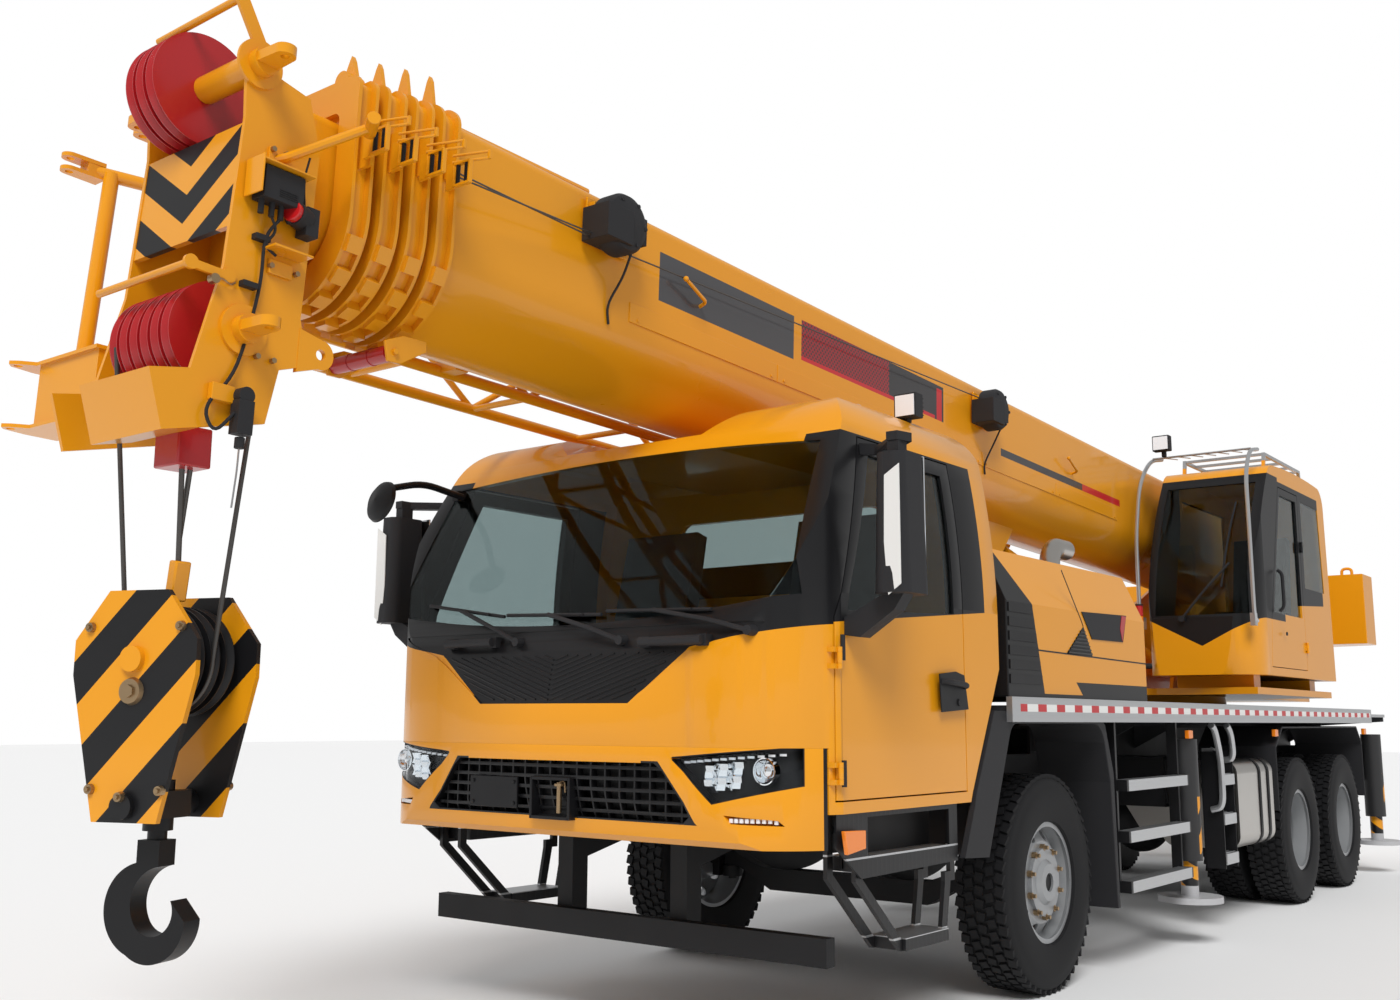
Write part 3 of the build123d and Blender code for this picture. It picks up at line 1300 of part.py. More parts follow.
# Falls of the hoist rope between the lower sheaves and the block
rope_r = 8
rope_seat = 12
rope_wrap = lower_sheave_r - rope_seat
with BuildPart() as hoist_rope:
    for s, y in ((1, lower_y), (-1, -lower_y)):
        low = Vector(hang.X, 0, block_axis_z) + across_face * (-s * (block_sheave_r - rope_seat))
        dx = low.X - hang.X
        dz = low.Z - hang.Z
        touch = atan2(dz, dx) + s * acos(rope_wrap / hypot(dx, dz))
        top = Vector(hang.X + rope_wrap * cos(touch), y, hang.Z + rope_wrap * sin(touch))
        with BuildSketch(Plane(origin=low, x_dir=(0, 1, 0), z_dir=top - low)):
            Circle(rope_r)
        extrude(amount=(top - low).length)
    # the turn round the block's middle sheave
    with BuildSketch(Plane(origin=Vector(hang.X, 0, block_axis_z), x_dir=face, z_dir=(0, 0, 1))):
        with Locations((0, block_sheave_r - rope_seat)):
            Circle(rope_r)
    revolve(axis=Axis(Vector(hang.X, 0, block_axis_z), face), revolution_arc=-180)
hoist_rope.part.label = "hoist_rope"
export_step(hoist_rope.part, "parts/hoist_rope.step")

# Panes of the crane's cab, a little inside its walls
with BuildPart() as crane_cab_glass:
    add(crane_windows(0.3))
    add(crane_pane_outer, mode=Mode.INTERSECT)
    add(crane_pane_inner, mode=Mode.SUBTRACT)
crane_cab_glass.part.label = "crane_cab_glass"
export_step(crane_cab_glass.part, "parts/crane_cab_glass.step")

with BuildPart() as crane_door_glass:
    with BuildSketch(side(cab2_out - 15)):
        Polygon(*door2_pane, align=None)
    extrude(amount=6)
crane_door_glass.part.label = "crane_door_glass"
export_step(crane_door_glass.part, "parts/crane_door_glass.step")

# Fuel tank and exhaust
with BuildPart() as tank:
    with BuildSketch(across(-3680)):
        with Locations((980, 780)):
            RectangleRounded(520, 580, 90)
    extrude(amount=810)
    # brackets to the frame
    for x in (-3560, -3000):
        with BuildSketch(across(x)):
            Polygon((frame_half, 1060), (frame_half, 820), (560, 560), (740, 560), (740, 1060), align=None)
        extrude(amount=50)
tank.part.label = "tank"
export_step(tank.part, "parts/tank.step")

exhaust_x = -1020
exhaust_y = 780
exhaust_r = 60
with BuildPart() as exhaust:
    with BuildLine(side(exhaust_y)):
        FilletPolyline((exhaust_x, hood_top), (exhaust_x, hood_top + 190), (exhaust_x - 240, hood_top + 190), radius=115)
    with BuildSketch(Plane.XY.offset(hood_top)):
        with Locations((at(exhaust_x), exhaust_y)):
            Circle(exhaust_r)
    sweep()
    # open end
    with BuildSketch(Plane(origin=(at(exhaust_x - 240), exhaust_y, hood_top + 190), z_dir=(1, 0, 0))):
        Circle(exhaust_r - 4)
    extrude(amount=100, mode=Mode.SUBTRACT)
exhaust.part.label = "exhaust"
export_step(exhaust.part, "parts/exhaust.step")

# Fenders over the wheels, with the upright guards beside them
fender_t = 12
fender_out = carrier_half - rail_t - seat_gap
with BuildPart() as fenders:
    for s in (1, -1):
        # rear: one trough over both tandem wheels, held up under the deck
        with BuildSketch(side(s * 980)):
            Polygon((-3760, 700), (-3760, 1150), (-3960, 1290), (-6240, 1290), (-6400, 1150), (-6400, 700),
                    (-6400 + fender_t, 700), (-6400 + fender_t, 1140), (-6235, 1290 - fender_t),
                    (-3965, 1290 - fender_t), (-3760 - fender_t, 1140), (-3760 - fender_t, 700), align=None)
        extrude(amount=275, both=True)
        # front: an arch under the deck with a broad guard at the outside
        with BuildSketch(side(s * fender_out)):
            with BuildLine():
                Polyline((560, 1368.7), (735, 1368.7), (940, 1000), (955, 950), (1065, 731), (826, 718), (575, 1260))
                ThreePointArc((575, 1260), (540, 1297), (490, 1309))
                Line((490, 1309), (-440, 1309))
                ThreePointArc((-440, 1309), (-520, 1285), (-580, 1210))
                Polyline((-580, 1210), (-640, 1000), (-677, 342), (-712, 342), (-690, 1050), (-600, 1300),
                         (-500, 1368.7), (560, 1368.7))
            make_face()
        extrude(amount=s * 30)
        with BuildSketch(side(s * fender_out)):
            with BuildLine():
                Polyline((838, 724), (826, 718), (575, 1260))
                ThreePointArc((575, 1260), (540, 1297), (490, 1309))
                Line((490, 1309), (-440, 1309))
                ThreePointArc((-440, 1309), (-520, 1285), (-580, 1210))
                Polyline((-580, 1210), (-640, 1000), (-677, 342), (-690, 342), (-652, 1003), (-592, 1216))
                ThreePointArc((-592, 1216), (-530, 1296), (-444, 1321))
                Line((-444, 1321), (494, 1321))
                ThreePointArc((494, 1321), (550, 1307), (587, 1265))
                Line((587, 1265), (838, 724))
            make_face()
        extrude(amount=s * 400)
fenders.part.label = "fenders"
export_step(fenders.part, "parts/fenders.step")

# Ladder of three rungs and the cab's steps
step_out = 1215
with BuildPart() as steps:
    for s in (1, -1):
        for z in (435, 700, 975):
            with BuildSketch(side(s * 1220)):
                with Locations((-1340, z)):
                    Rectangle(1010, 60)
            extrude(amount=40, both=True)
        for x in (-845, -1840):
            with BuildSketch(side(s * 1170)):
                with Locations((x, (410 + deck_z - deck_t) / 2)):
                    Rectangle(24, deck_z - deck_t - 410)
            extrude(amount=30, both=True)
        # two cab steps in a frame that hangs under the door's sill
        for y in (1190, 1060):
            with BuildSketch(side(s * y)):
                Polygon((1900, 966), (1900, 700), (1560, 400), (1170, 400), (1120, 640), (1170, 640), (1210, 440),
                        (1545, 440), (1860, 716), (1860, 966), align=None)
                Polygon((1080, 966), (1080, 640), (1170, 640), (1170, 680), (1120, 680), (1120, 966), align=None)
            extrude(amount=10, both=True)
        # side panel under the door's sill, open above the upper step
        with BuildSketch(side(s * step_out)):
            Polygon((2060, cab_bottom), (2060, 840), (1880, 712), (1075, 722), (1075, cab_bottom), align=None)
            Polygon((1830, 945), (1830, 795), (1150, 795), (1150, 945), align=None, mode=Mode.SUBTRACT)
        extrude(amount=s * 10)
        with BuildSketch(side(s * step_out)):
            with Locations((1480, 760)):
                Rectangle(720, 60)
            with Locations((1360, 425)):
                Rectangle(370, 50)
        extrude(amount=s * 170)
steps.part.label = "steps"
export_step(steps.part, "parts/steps.step")

# Lattice jib stowed along the boom's right side, its foot turned forward beside the head
jib_in_y = -430
jib_out_y = -820
jib_low_w = [-30, -62]
jib_high_w = [330, 500]
jib_u = [3600, 10250]
jib_bays = 9
foot_u = 10640
fork_w = 560
beam_w0 = -360
with BuildPart() as jib:
    for y in (jib_in_y, jib_out_y):
        for w0, w1 in (jib_low_w, jib_high_w):
            a = Vector(*boom_point(jib_u[0], w0, y))
            b = Vector(*boom_point(jib_u[1], w1, y))
            with BuildSketch(Plane(origin=a, x_dir=(0, 1, 0), z_dir=b - a)):
                Circle(26)
            extrude(amount=(b - a).length)
    bay = (jib_u[1] - jib_u[0]) / jib_bays
    for k in range(jib_bays + 1):
        share = k / jib_bays
        u = jib_u[0] + bay * k
        low_w = jib_low_w[0] + share * (jib_low_w[1] - jib_low_w[0])
        high_w = jib_high_w[0] + share * (jib_high_w[1] - jib_high_w[0])
        for w in (low_w, high_w):
            with BuildSketch(boom_side(jib_in_y)):
                with Locations((u, w)):
                    Circle(15)
            extrude(amount=jib_in_y - jib_out_y)
        if k < jib_bays:
            for y in (jib_in_y, jib_out_y):
                a = Vector(*boom_point(u, low_w if k % 2 else high_w, y))
                b = Vector(*boom_point(u + bay, high_w if k % 2 else low_w, y))
                with BuildSketch(Plane(origin=a, x_dir=(0, 1, 0), z_dir=b - a)):
                    Circle(16)
                extrude(amount=(b - a).length)
    # brackets on the boom's side
    for u in (4500, 9300):
        with BuildSketch(boom_side(-310)):
            with Locations((u, 170)):
                Rectangle(70, 480)
        extrude(amount=140)
    # foot: four legs spread to two forks above and a crossbeam below, all pointing ahead
    for w0, y0, w1, y1 in ((jib_low_w[1], jib_in_y, beam_w0 + 60, -640), (jib_low_w[1], jib_out_y, beam_w0 + 60, -980),
                           (jib_high_w[1], jib_in_y, fork_w, -545), (jib_high_w[1], jib_out_y, fork_w, -1090)):
        a = Vector(*boom_point(jib_u[1] - 10, w0, y0))
        b = Vector(*boom_point(foot_u, w1, y1))
        with BuildSketch(Plane(origin=a, x_dir=(0, 1, 0), z_dir=b - a)):
            Circle(27)
        extrude(amount=(b - a).length)
    a = Vector(*boom_point(foot_u + 10, beam_w0 + 20, -965))
    b = Vector(*boom_point(foot_u - 60, fork_w - 8, -1040))
    with BuildSketch(Plane(origin=a, x_dir=(0, 1, 0), z_dir=b - a)):
        Circle(30)
    extrude(amount=(b - a).length)
    for y in (-545, -1090):
        with BuildSketch(Plane(origin=boom_point(foot_u, fork_w - 36, y), x_dir=(ca, 0, sa), z_dir=(-sa, 0, ca))):
            Rectangle(60, 70)
        extrude(amount=72)
        for w in (fork_w - 36, fork_w + 20):
            with BuildSketch(Plane(origin=boom_point(foot_u, w, y), x_dir=(ca, 0, sa), z_dir=(-sa, 0, ca))):
                Polygon((-40, -38), (90, -34), (90, 34), (-40, 38), align=None)
                with Locations((90, 0)):
                    Circle(34)
                    Circle(15, mode=Mode.SUBTRACT)
            extrude(amount=16)
    # lower crossbeam, a closed box with a fork of two plates at its outer end
    with BuildSketch(boom_side(-600)):
        with Locations((foot_u + 60, beam_w0 - 60)):
            Rectangle(150, 232)
    extrude(amount=430)
    for w in (beam_w0 + 56, beam_w0 - 190):
        with BuildSketch(Plane(origin=boom_point(foot_u, w, 0), x_dir=(ca, 0, sa), z_dir=(-sa, 0, ca))):
            Polygon((-20, -1150), (110, -1150), (200, -1130), (222, -1100), (200, -1070), (150, -1030), (150, -590),
                    (-30, -590), align=None)
            with Locations((186, -1100)):
                Circle(16, mode=Mode.SUBTRACT)
        extrude(amount=14)
    # strut from the crossbeam to the boom's side
    with BuildSketch(boom_side(-560)):
        Polygon((10320, -62), (10345, -20), (foot_u + 20, beam_w0 + 40), (foot_u - 20, beam_w0 - 40), align=None)
    extrude(amount=60)
jib.part.label = "jib"
export_step(jib.part, "parts/jib.step")
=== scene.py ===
import json
from math import cos, pi, radians, sin

import bmesh
import bpy
from mathutils import Matrix, Vector

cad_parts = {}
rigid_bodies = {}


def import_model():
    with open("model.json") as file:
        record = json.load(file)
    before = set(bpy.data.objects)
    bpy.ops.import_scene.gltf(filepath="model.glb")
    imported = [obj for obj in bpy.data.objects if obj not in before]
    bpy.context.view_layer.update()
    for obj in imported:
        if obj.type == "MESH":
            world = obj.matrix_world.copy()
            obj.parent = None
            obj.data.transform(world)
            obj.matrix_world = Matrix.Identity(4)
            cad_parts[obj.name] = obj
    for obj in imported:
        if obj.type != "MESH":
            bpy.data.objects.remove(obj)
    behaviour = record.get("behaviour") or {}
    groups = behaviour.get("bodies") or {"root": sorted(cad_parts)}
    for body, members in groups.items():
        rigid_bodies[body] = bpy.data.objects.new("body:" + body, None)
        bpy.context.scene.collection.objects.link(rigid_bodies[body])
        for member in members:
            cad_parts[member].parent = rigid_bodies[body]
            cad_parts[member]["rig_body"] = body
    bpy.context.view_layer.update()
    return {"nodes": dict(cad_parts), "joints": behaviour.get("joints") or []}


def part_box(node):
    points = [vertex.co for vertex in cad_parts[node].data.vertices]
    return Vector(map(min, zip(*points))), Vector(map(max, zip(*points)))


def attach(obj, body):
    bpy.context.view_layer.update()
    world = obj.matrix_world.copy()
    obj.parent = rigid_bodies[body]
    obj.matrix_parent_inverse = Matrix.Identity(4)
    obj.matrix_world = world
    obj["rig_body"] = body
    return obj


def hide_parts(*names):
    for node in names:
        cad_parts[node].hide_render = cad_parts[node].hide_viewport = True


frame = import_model()
nodes = frame["nodes"]
joints = {j["name"]: j for j in frame["joints"]}
axleX = joints["steer_left"]["pos_m"][0]  # stations are counted from the front axle
wheelZ = joints["steer_left"]["pos_m"][2]
boomFoot = Vector(joints["luff"]["pos_m"])
boomAlong = Vector(joints["telescope_2"]["axis"])
boomUp = Vector((-boomAlong.z, 0, boomAlong.x))
toLeft = Vector((0, 1, 0))
hookX = joints["hook_swivel"]["pos_m"][0]
blockTurn = radians(20)
faceAhead = Vector((cos(blockTurn), sin(blockTurn), 0))
faceAcross = Vector((-sin(blockTurn), cos(blockTurn), 0))


def at(x, y, z):
    return Vector((axleX + x, y, z))


def onBoom(u, w, y):
    return boomFoot + boomAlong * u + boomUp * w + Vector((0, y, 0))


print("frame loaded")

# Shader maths


class Field:
    def __init__(self, paint, socket):
        self.paint = paint
        self.socket = socket

    def calc(self, operation, other=None, swap=False):
        first, second = (other, self) if swap else (self, other)
        return self.paint.node("ShaderNodeMath", {"operation": operation}, {0: first, 1: second})

    def __add__(self, other):
        return self.calc("ADD", other)

    def __sub__(self, other):
        return self.calc("SUBTRACT", other)

    def __rsub__(self, other):
        return self.calc("SUBTRACT", other, True)

    def __mul__(self, other):
        return self.calc("MULTIPLY", other)

    def __truediv__(self, other):
        return self.calc("DIVIDE", other)

    def __mod__(self, other):
        return self.calc("FLOORED_MODULO", other)

    def __gt__(self, other):
        return self.calc("GREATER_THAN", other)

    def __lt__(self, other):
        return self.calc("LESS_THAN", other)

    def __and__(self, other):
        return self.calc("MULTIPLY", other)

    def __or__(self, other):
        return self.calc("MAXIMUM", other)

    def __abs__(self):
        return self.calc("ABSOLUTE")

    __radd__ = __add__
    __rmul__ = __mul__


class Paint:
    def __init__(self, name, colour, roughness=0.4, **fixed):
        self.material = bpy.data.materials.new(name)
        self.material.use_nodes = True
        self.tree = self.material.node_tree
        self.shader = self.tree.nodes["Principled BSDF"]
        self.colour = (*colour, 1)
        self.shader.inputs["Base Color"].default_value = self.colour
        self.shader.inputs["Roughness"].default_value = roughness
        for socket, value in fixed.items():
            self.shader.inputs[socket.replace("_", " ")].default_value = value

    def node(self, kind, settings=None, inputs=None, output=0):
        made = self.tree.nodes.new(kind)
        for key, value in (settings or {}).items():
            if key == "stops":
                for place, stop in zip((0, 1), value):
                    made.color_ramp.elements[place].position = stop[0]
                    made.color_ramp.elements[place].color = stop[1]
            else:
                setattr(made, key, value)
        for key, value in (inputs or {}).items():
            if isinstance(value, Field):
                self.tree.links.new(value.socket, made.inputs[key])
            elif value is not None:
                made.inputs[key].default_value = value
        return Field(self, made.outputs[output])

    def place(self):
        coords = self.node("ShaderNodeTexCoord", output="Object")
        split = self.node("ShaderNodeSeparateXYZ", inputs={0: coords})
        return [Field(self, split.socket.node.outputs[k]) for k in range(3)]

    def station(self):
        x, y, z = self.place()
        return x - axleX, y, z

    def boomPlace(self):
        x, y, z = self.place()
        dx = x - boomFoot.x
        dz = z - boomFoot.z
        return dx * boomAlong.x + dz * boomAlong.z, y, dz * boomAlong.x - dx * boomAlong.z

    def feed(self, socket, field):
        self.tree.links.new(field.socket, self.shader.inputs[socket])
        return self

    def mixColour(self, mask, first, second):
        return self.node("ShaderNodeMix", {"data_type": "RGBA"}, {0: mask, 6: first, 7: second}, 2)

    def grain(self, scale, detail=2.0):
        coords = self.node("ShaderNodeTexCoord", output="Object")
        return self.node("ShaderNodeTexNoise", None, {"Vector": coords, "Scale": scale, "Detail": detail})

    def bump(self, height, strength, distance):
        return self.feed("Normal", self.node("ShaderNodeBump", None, {"Height": height, "Strength": strength,
                                                                      "Distance": distance}))

    def rough(self, low, high, scale):
        return self.feed("Roughness", self.grain(scale) * (high - low) + low)


colours = {
    "yellow": (0.76, 0.305, 0.006), "black": (0.008, 0.008, 0.009), "darkGrey": (0.022, 0.022, 0.024),
    "red": (0.42, 0.012, 0.016), "white": (0.78, 0.78, 0.76), "aluminium": (0.56, 0.57, 0.58),
    "amber": (0.85, 0.22, 0.01), "rubber": (0.011, 0.011, 0.012), "rope": (0.10, 0.095, 0.09),
    "rim": (0.36, 0.37, 0.38), "studs": (0.40, 0.28, 0.16), "deck": (0.045, 0.046, 0.05),
}


def yellowPaint(name, maskOf=None, second="black", secondRough=0.42):
    paint = Paint(name, colours["yellow"], 0.3, Coat_Weight=0.4, Coat_Roughness=0.06, Specular_IOR_Level=0.35)
    if maskOf is None:
        return paint.rough(0.24, 0.36, 2.5)
    mask = maskOf(paint)
    paint.feed("Base Color", paint.mixColour(mask, paint.colour, (*colours[second], 1)))
    paint.feed("Roughness", mask * (secondRough - 0.3) + 0.3)
    return paint.feed("Coat Weight", 0.4 - mask * 0.35)


paints = {
    "yellow": yellowPaint("gloss yellow"),
    "black": Paint("satin black", colours["black"], 0.4, Specular_IOR_Level=0.3).rough(0.34, 0.5, 6.0),
    "plastic": Paint("grained plastic", colours["darkGrey"], 0.6, Specular_IOR_Level=0.3),
    "frame": Paint("chassis black", (0.009, 0.009, 0.010), 0.5, Specular_IOR_Level=0.3).rough(0.42, 0.62, 4.0),
    "red": Paint("gloss red", colours["red"], 0.3, Coat_Weight=0.3, Coat_Roughness=0.1),
    "steel": Paint("bright steel", (0.55, 0.55, 0.56), 0.28, Metallic=1.0),
    "aluminium": Paint("brushed aluminium", colours["aluminium"], 0.38, Metallic=0.85),
    "stainless": Paint("stainless sheet", (0.50, 0.48, 0.45), 0.3, Metallic=1.0),
    "rubber": Paint("tyre rubber", colours["rubber"], 0.72, Specular_IOR_Level=0.3),
    "rim": Paint("wheel paint", colours["rim"], 0.38, Metallic=0.55),
    "studs": Paint("wheel nuts", colours["studs"], 0.35, Metallic=0.9),
    "rope": Paint("greased wire rope", colours["rope"], 0.45, Metallic=0.7),
    "glass": Paint("tinted glass", (0.42, 0.49, 0.49), 0.0, Transmission_Weight=1.0, IOR=1.2),
    "clear": Paint("lamp lens", (0.9, 0.93, 0.95), 0.0, Transmission_Weight=1.0, IOR=1.15),
    "mirror": Paint("mirror glass", (0.86, 0.88, 0.9), 0.03, Metallic=1.0),
    "amber": Paint("amber lens", colours["amber"], 0.22, Coat_Weight=0.5),
    "redLens": Paint("red lens", (0.5, 0.01, 0.012), 0.2, Coat_Weight=0.5),
    "led": Paint("lamp white", (0.85, 0.87, 0.9), 0.2),
    "interior": Paint("seat fabric", (0.05, 0.052, 0.058), 0.85),
    "engine": Paint("engine grey", (0.12, 0.12, 0.125), 0.6),
    "sign": Paint("blank label", (0.75, 0.75, 0.73), 0.4),
}
plasticGrain = paints["plastic"].grain(420.0)
paints["plastic"].bump(plasticGrain, 0.25, 0.002)
seatGrain = paints["interior"].grain(300.0)
paints["interior"].bump(seatGrain, 0.3, 0.002)


def letLampsThrough(paint, tint):
    # lamps reach what is behind the glass
    lightPath = paint.tree.nodes.new("ShaderNodeLightPath")
    film = paint.tree.nodes.new("ShaderNodeBsdfTransparent")
    film.inputs["Color"].default_value = (*tint, 1)
    mixed = paint.tree.nodes.new("ShaderNodeMixShader")
    paint.tree.links.new(lightPath.outputs["Is Shadow Ray"], mixed.inputs[0])
    paint.tree.links.new(paint.shader.outputs[0], mixed.inputs[1])
    paint.tree.links.new(film.outputs[0], mixed.inputs[2])
    paint.tree.links.new(mixed.outputs[0], paint.tree.nodes["Material Output"].inputs["Surface"])


letLampsThrough(paints["glass"], (0.5, 0.56, 0.56))
letLampsThrough(paints["clear"], (0.9, 0.92, 0.94))
print("finishes made")

# Modelling helpers


def spot(centre, along=(1, 0, 0), up=(0, 0, 1)):
    # a place: local x along, local z up
    x = Vector(along).normalized()
    z = Vector(up)
    z = (z - x * z.dot(x)).normalized()
    y = z.cross(x)
    turned = Matrix((x, y, z)).transposed().to_4x4()
    return Matrix.Translation(centre) @ turned


def addBox(bm, place, size):
    return bmesh.ops.create_cube(bm, size=1, matrix=place @ Matrix.Diagonal((*size, 1)))["verts"]


def addRod(bm, start, end, radius, radiusEnd=None, sides=24):
    run = end - start
    turned = run.to_track_quat("Z", "Y").to_matrix().to_4x4()
    place = Matrix.Translation((start + end) / 2) @ turned
    return bmesh.ops.create_cone(bm, cap_ends=True, segments=sides, radius1=radius, depth=run.length, matrix=place,
                                 radius2=radius if radiusEnd is None else radiusEnd)["verts"]


def addBall(bm, centre, radius, squash=(1, 1, 1), sides=20):
    place = Matrix.Translation(centre) @ Matrix.Diagonal((*squash, 1))
    return bmesh.ops.create_uvsphere(bm, u_segments=sides, v_segments=sides // 2, radius=radius, matrix=place)["verts"]


def addPlate(bm, place, outline, thickness):
    # an outline in the place's local x and z, thickened along local y
    corners = [bm.verts.new(place @ Vector((x, 0, z))) for x, z in outline]
    face = bm.faces.new(corners)
    grown = bmesh.ops.extrude_face_region(bm, geom=[face])["geom"]
    moved = [v for v in grown if isinstance(v, bmesh.types.BMVert)]
    bmesh.ops.translate(bm, vec=place.to_3x3() @ Vector((0, thickness, 0)), verts=moved)
    return corners + moved


def addLathe(bm, profile, centre, axis=(0, 1, 0), sides=64):
    # a profile of (distance along the axis, radius) turned about the axis
    way = Vector(axis).normalized()
    out = way.orthogonal().normalized()
    ring = [bm.verts.new(Vector(centre) + way * a + out * r) for a, r in profile]
    edges = [bm.edges.new(pair) for pair in zip(ring, ring[1:])]
    bmesh.ops.spin(bm, geom=ring + edges, cent=centre, axis=way, angle=2 * pi, steps=sides, use_merge=True)


def rounded(points, reach, steps=5):
    # a path with its inner corners eased
    path = [points[0]]
    for before, corner, after in zip(points, points[1:], points[2:]):
        a = corner + (before - corner).normalized() * min(reach, (before - corner).length * 0.45)
        b = corner + (after - corner).normalized() * min(reach, (after - corner).length * 0.45)
        path += [a.lerp(corner, t).lerp(corner.lerp(b, t), t) for t in (k / steps for k in range(steps + 1))]
    return path + [points[-1]]


def addTube(bm, points, radius, reach=0.05, sides=3):
    curve = bpy.data.curves.new("path", "CURVE")
    curve.dimensions = "3D"
    curve.bevel_depth = radius
    curve.bevel_resolution = sides
    curve.use_fill_caps = True
    path = rounded([Vector(p) for p in points], reach)
    spline = curve.splines.new("POLY")
    spline.points.add(len(path) - 1)
    for point, where in zip(spline.points, path):
        point.co = (*where, 1)
    holder = bpy.data.objects.new("path", curve)
    mesh = bpy.data.meshes.new_from_object(holder)
    bm.from_mesh(mesh)
    bpy.data.objects.remove(holder)
    bpy.data.meshes.remove(mesh)
    bpy.data.curves.remove(curve)


def piece(bm, name, paint, body, edge=0.0, merge=True):
    if merge:
        bmesh.ops.remove_doubles(bm, verts=bm.verts, dist=1e-6)
    bmesh.ops.recalc_face_normals(bm, faces=bm.faces)
    mesh = bpy.data.meshes.new(name)
    bm.to_mesh(mesh)
    bm.free()
    mesh.shade_smooth()
    mesh.set_sharp_from_angle(angle=radians(32))
    made = bpy.data.objects.new(name, mesh)
    bpy.context.scene.collection.objects.link(made)
    mesh.materials.append(paint.material if isinstance(paint, Paint) else paints[paint].material)
    if edge:
        soften(made, edge)
    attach(made, body)
    return made


def soften(made, width, segments=2):
    bevel = made.modifiers.new("edges", "BEVEL")
    bevel.width = width
    bevel.segments = segments
    bevel.limit_method = "ANGLE"
    bevel.angle_limit = radians(40)
    bevel.harden_normals = False
    return bevel


def dress(node, paint):
    made = nodes[node]
    material = paint.material if isinstance(paint, Paint) else paints[paint].material
    if not made.material_slots:
        made.data.materials.append(material)
    for holder in made.material_slots:
        holder.material = material


# Paint over the CAD nodes, with their coloured areas

cabLook = {"beltFront": 1.70, "beltRise": 0.09, "glassTop": 2.50, "panelLow": 1.385}


def cabBlack(paint):
    x, y, z = paint.station()
    out = abs(y)
    cut = ((out - 0.43) | 0.0).calc("MINIMUM", 0.29) * 0.76 + ((out - 0.72) | 0.0) * 0.17 + cabLook["panelLow"]
    belt = (2.07 - x) * cabLook["beltRise"] + cabLook["beltFront"]
    front = (x > 2.03) & (z > cut)
    side = (x > 0.79) & (x < 2.031) & (out > 1.0) & (z > belt)
    below = z < cabLook["glassTop"]
    inside = (out < 1.13) & (x > 0.70) & (x < 2.0) & (z > 1.0) & (z < 2.44)
    return ((front | side) & below) | inside


def doorBlack(paint):
    x, y, z = paint.station()
    belt = (2.07 - x) * cabLook["beltRise"] + cabLook["beltFront"]
    return ((z > belt) & (z < 2.492)) | (abs(y) < 1.2)


def bumperBlack(paint):
    x, y, z = paint.station()
    out = abs(y)
    grille = (out < (1.15 - z) * 0.79 + 0.585) & (z > 0.918) & (z < 1.158) & (x < 2.372)
    low = (1.168 - (out - 0.64) * 0.84) | (1.0 + (out - 0.84) * 0.232)
    lamp = (out > 0.645) & (out < 1.154) & (z > low) & (z < 1.176 + (out - 0.64) * 0.0863)
    return grille | lamp | (x < 2.12)


railTape = {"pitch": 0.222, "red": 0.45, "low": 1.366, "high": 1.402}


def railPaint():
    paint = Paint("deck and side rail", colours["deck"], 0.55)
    x, y, z = paint.station()
    rail = abs(y) > 1.243
    tape = rail & (z > railTape["low"]) & (z < railTape["high"]) & (x > -6.7) & (x < 0.52)
    redPart = tape & ((x % railTape["pitch"]) < railTape["pitch"] * railTape["red"])
    colour = paint.mixColour(rail, paint.colour, (*colours["aluminium"], 1))
    colour = paint.mixColour(tape, colour, (*colours["white"], 1))
    paint.feed("Base Color", paint.mixColour(redPart, colour, (0.5, 0.02, 0.025, 1)))
    paint.feed("Metallic", rail * 0.85 - tape * 0.85)
    paint.feed("Roughness", 0.6 - rail * 0.22)
    grooves = rail * ((z % 0.028) < 0.004)
    plates = ((x + y) % 0.05 < 0.008) | ((x - y) % 0.05 < 0.008)
    return paint.bump(0.0 - grooves + (1.0 - rail) * plates, 0.5, 0.003)


boomStripe = {"rear": 6.03, "front": 7.57, "low": 0.32, "high": 0.535, "lineRear": 3.20, "lineFront": 5.25,
              "lineLow": 0.268, "lineHigh": 0.318}


def boomPaint():
    paint = Paint("boom with its stripes", colours["yellow"], 0.3, Coat_Weight=0.4, Coat_Roughness=0.06,
                  Specular_IOR_Level=0.35)
    u, y, w = paint.boomPlace()
    side = abs(y) > 0.305
    s = boomStripe
    band = side & (u > s["rear"]) & (u < s["front"]) & (w > s["low"]) & (w < s["high"])
    share = ((u - s["rear"]) / (s["front"] - s["rear"])) | 0.0
    hatch = ((((u + w) % 0.03) < 0.013) | (((u - w) % 0.03) < 0.013)) & (share > 0.42)
    foot = band & (w < s["low"] + 0.022) & (share > 0.07)
    hook = band & (share < 0.055) & ((w < s["high"] - 0.02) & (u > s["rear"] + 0.02))
    plate = side & (u > 7.64) & (u < 8.72) & (w > 0.305) & (w < 0.535)
    line = side & (u > s["lineRear"]) & (u < s["lineFront"]) & (w > s["lineLow"]) & (w < s["lineHigh"])
    lineRed = line & (u < s["lineRear"] + 0.72)
    dark = paint.mixColour(hatch, (0.03, 0.028, 0.03, 1), (0.33, 0.012, 0.018, 1))
    colour = paint.mixColour(band | line, paint.colour, dark)
    colour = paint.mixColour(plate, colour, (0.06, 0.06, 0.065, 1))
    colour = paint.mixColour(foot | hook | lineRed, colour, (0.55, 0.012, 0.018, 1))
    paint.feed("Base Color", colour)
    return paint.rough(0.24, 0.36, 2.5)


chevron = {"apex": 0.012, "slope": 0.65, "pitch": 0.21, "share": 0.505, "low": -0.07, "high": 0.31, "half": 0.283}


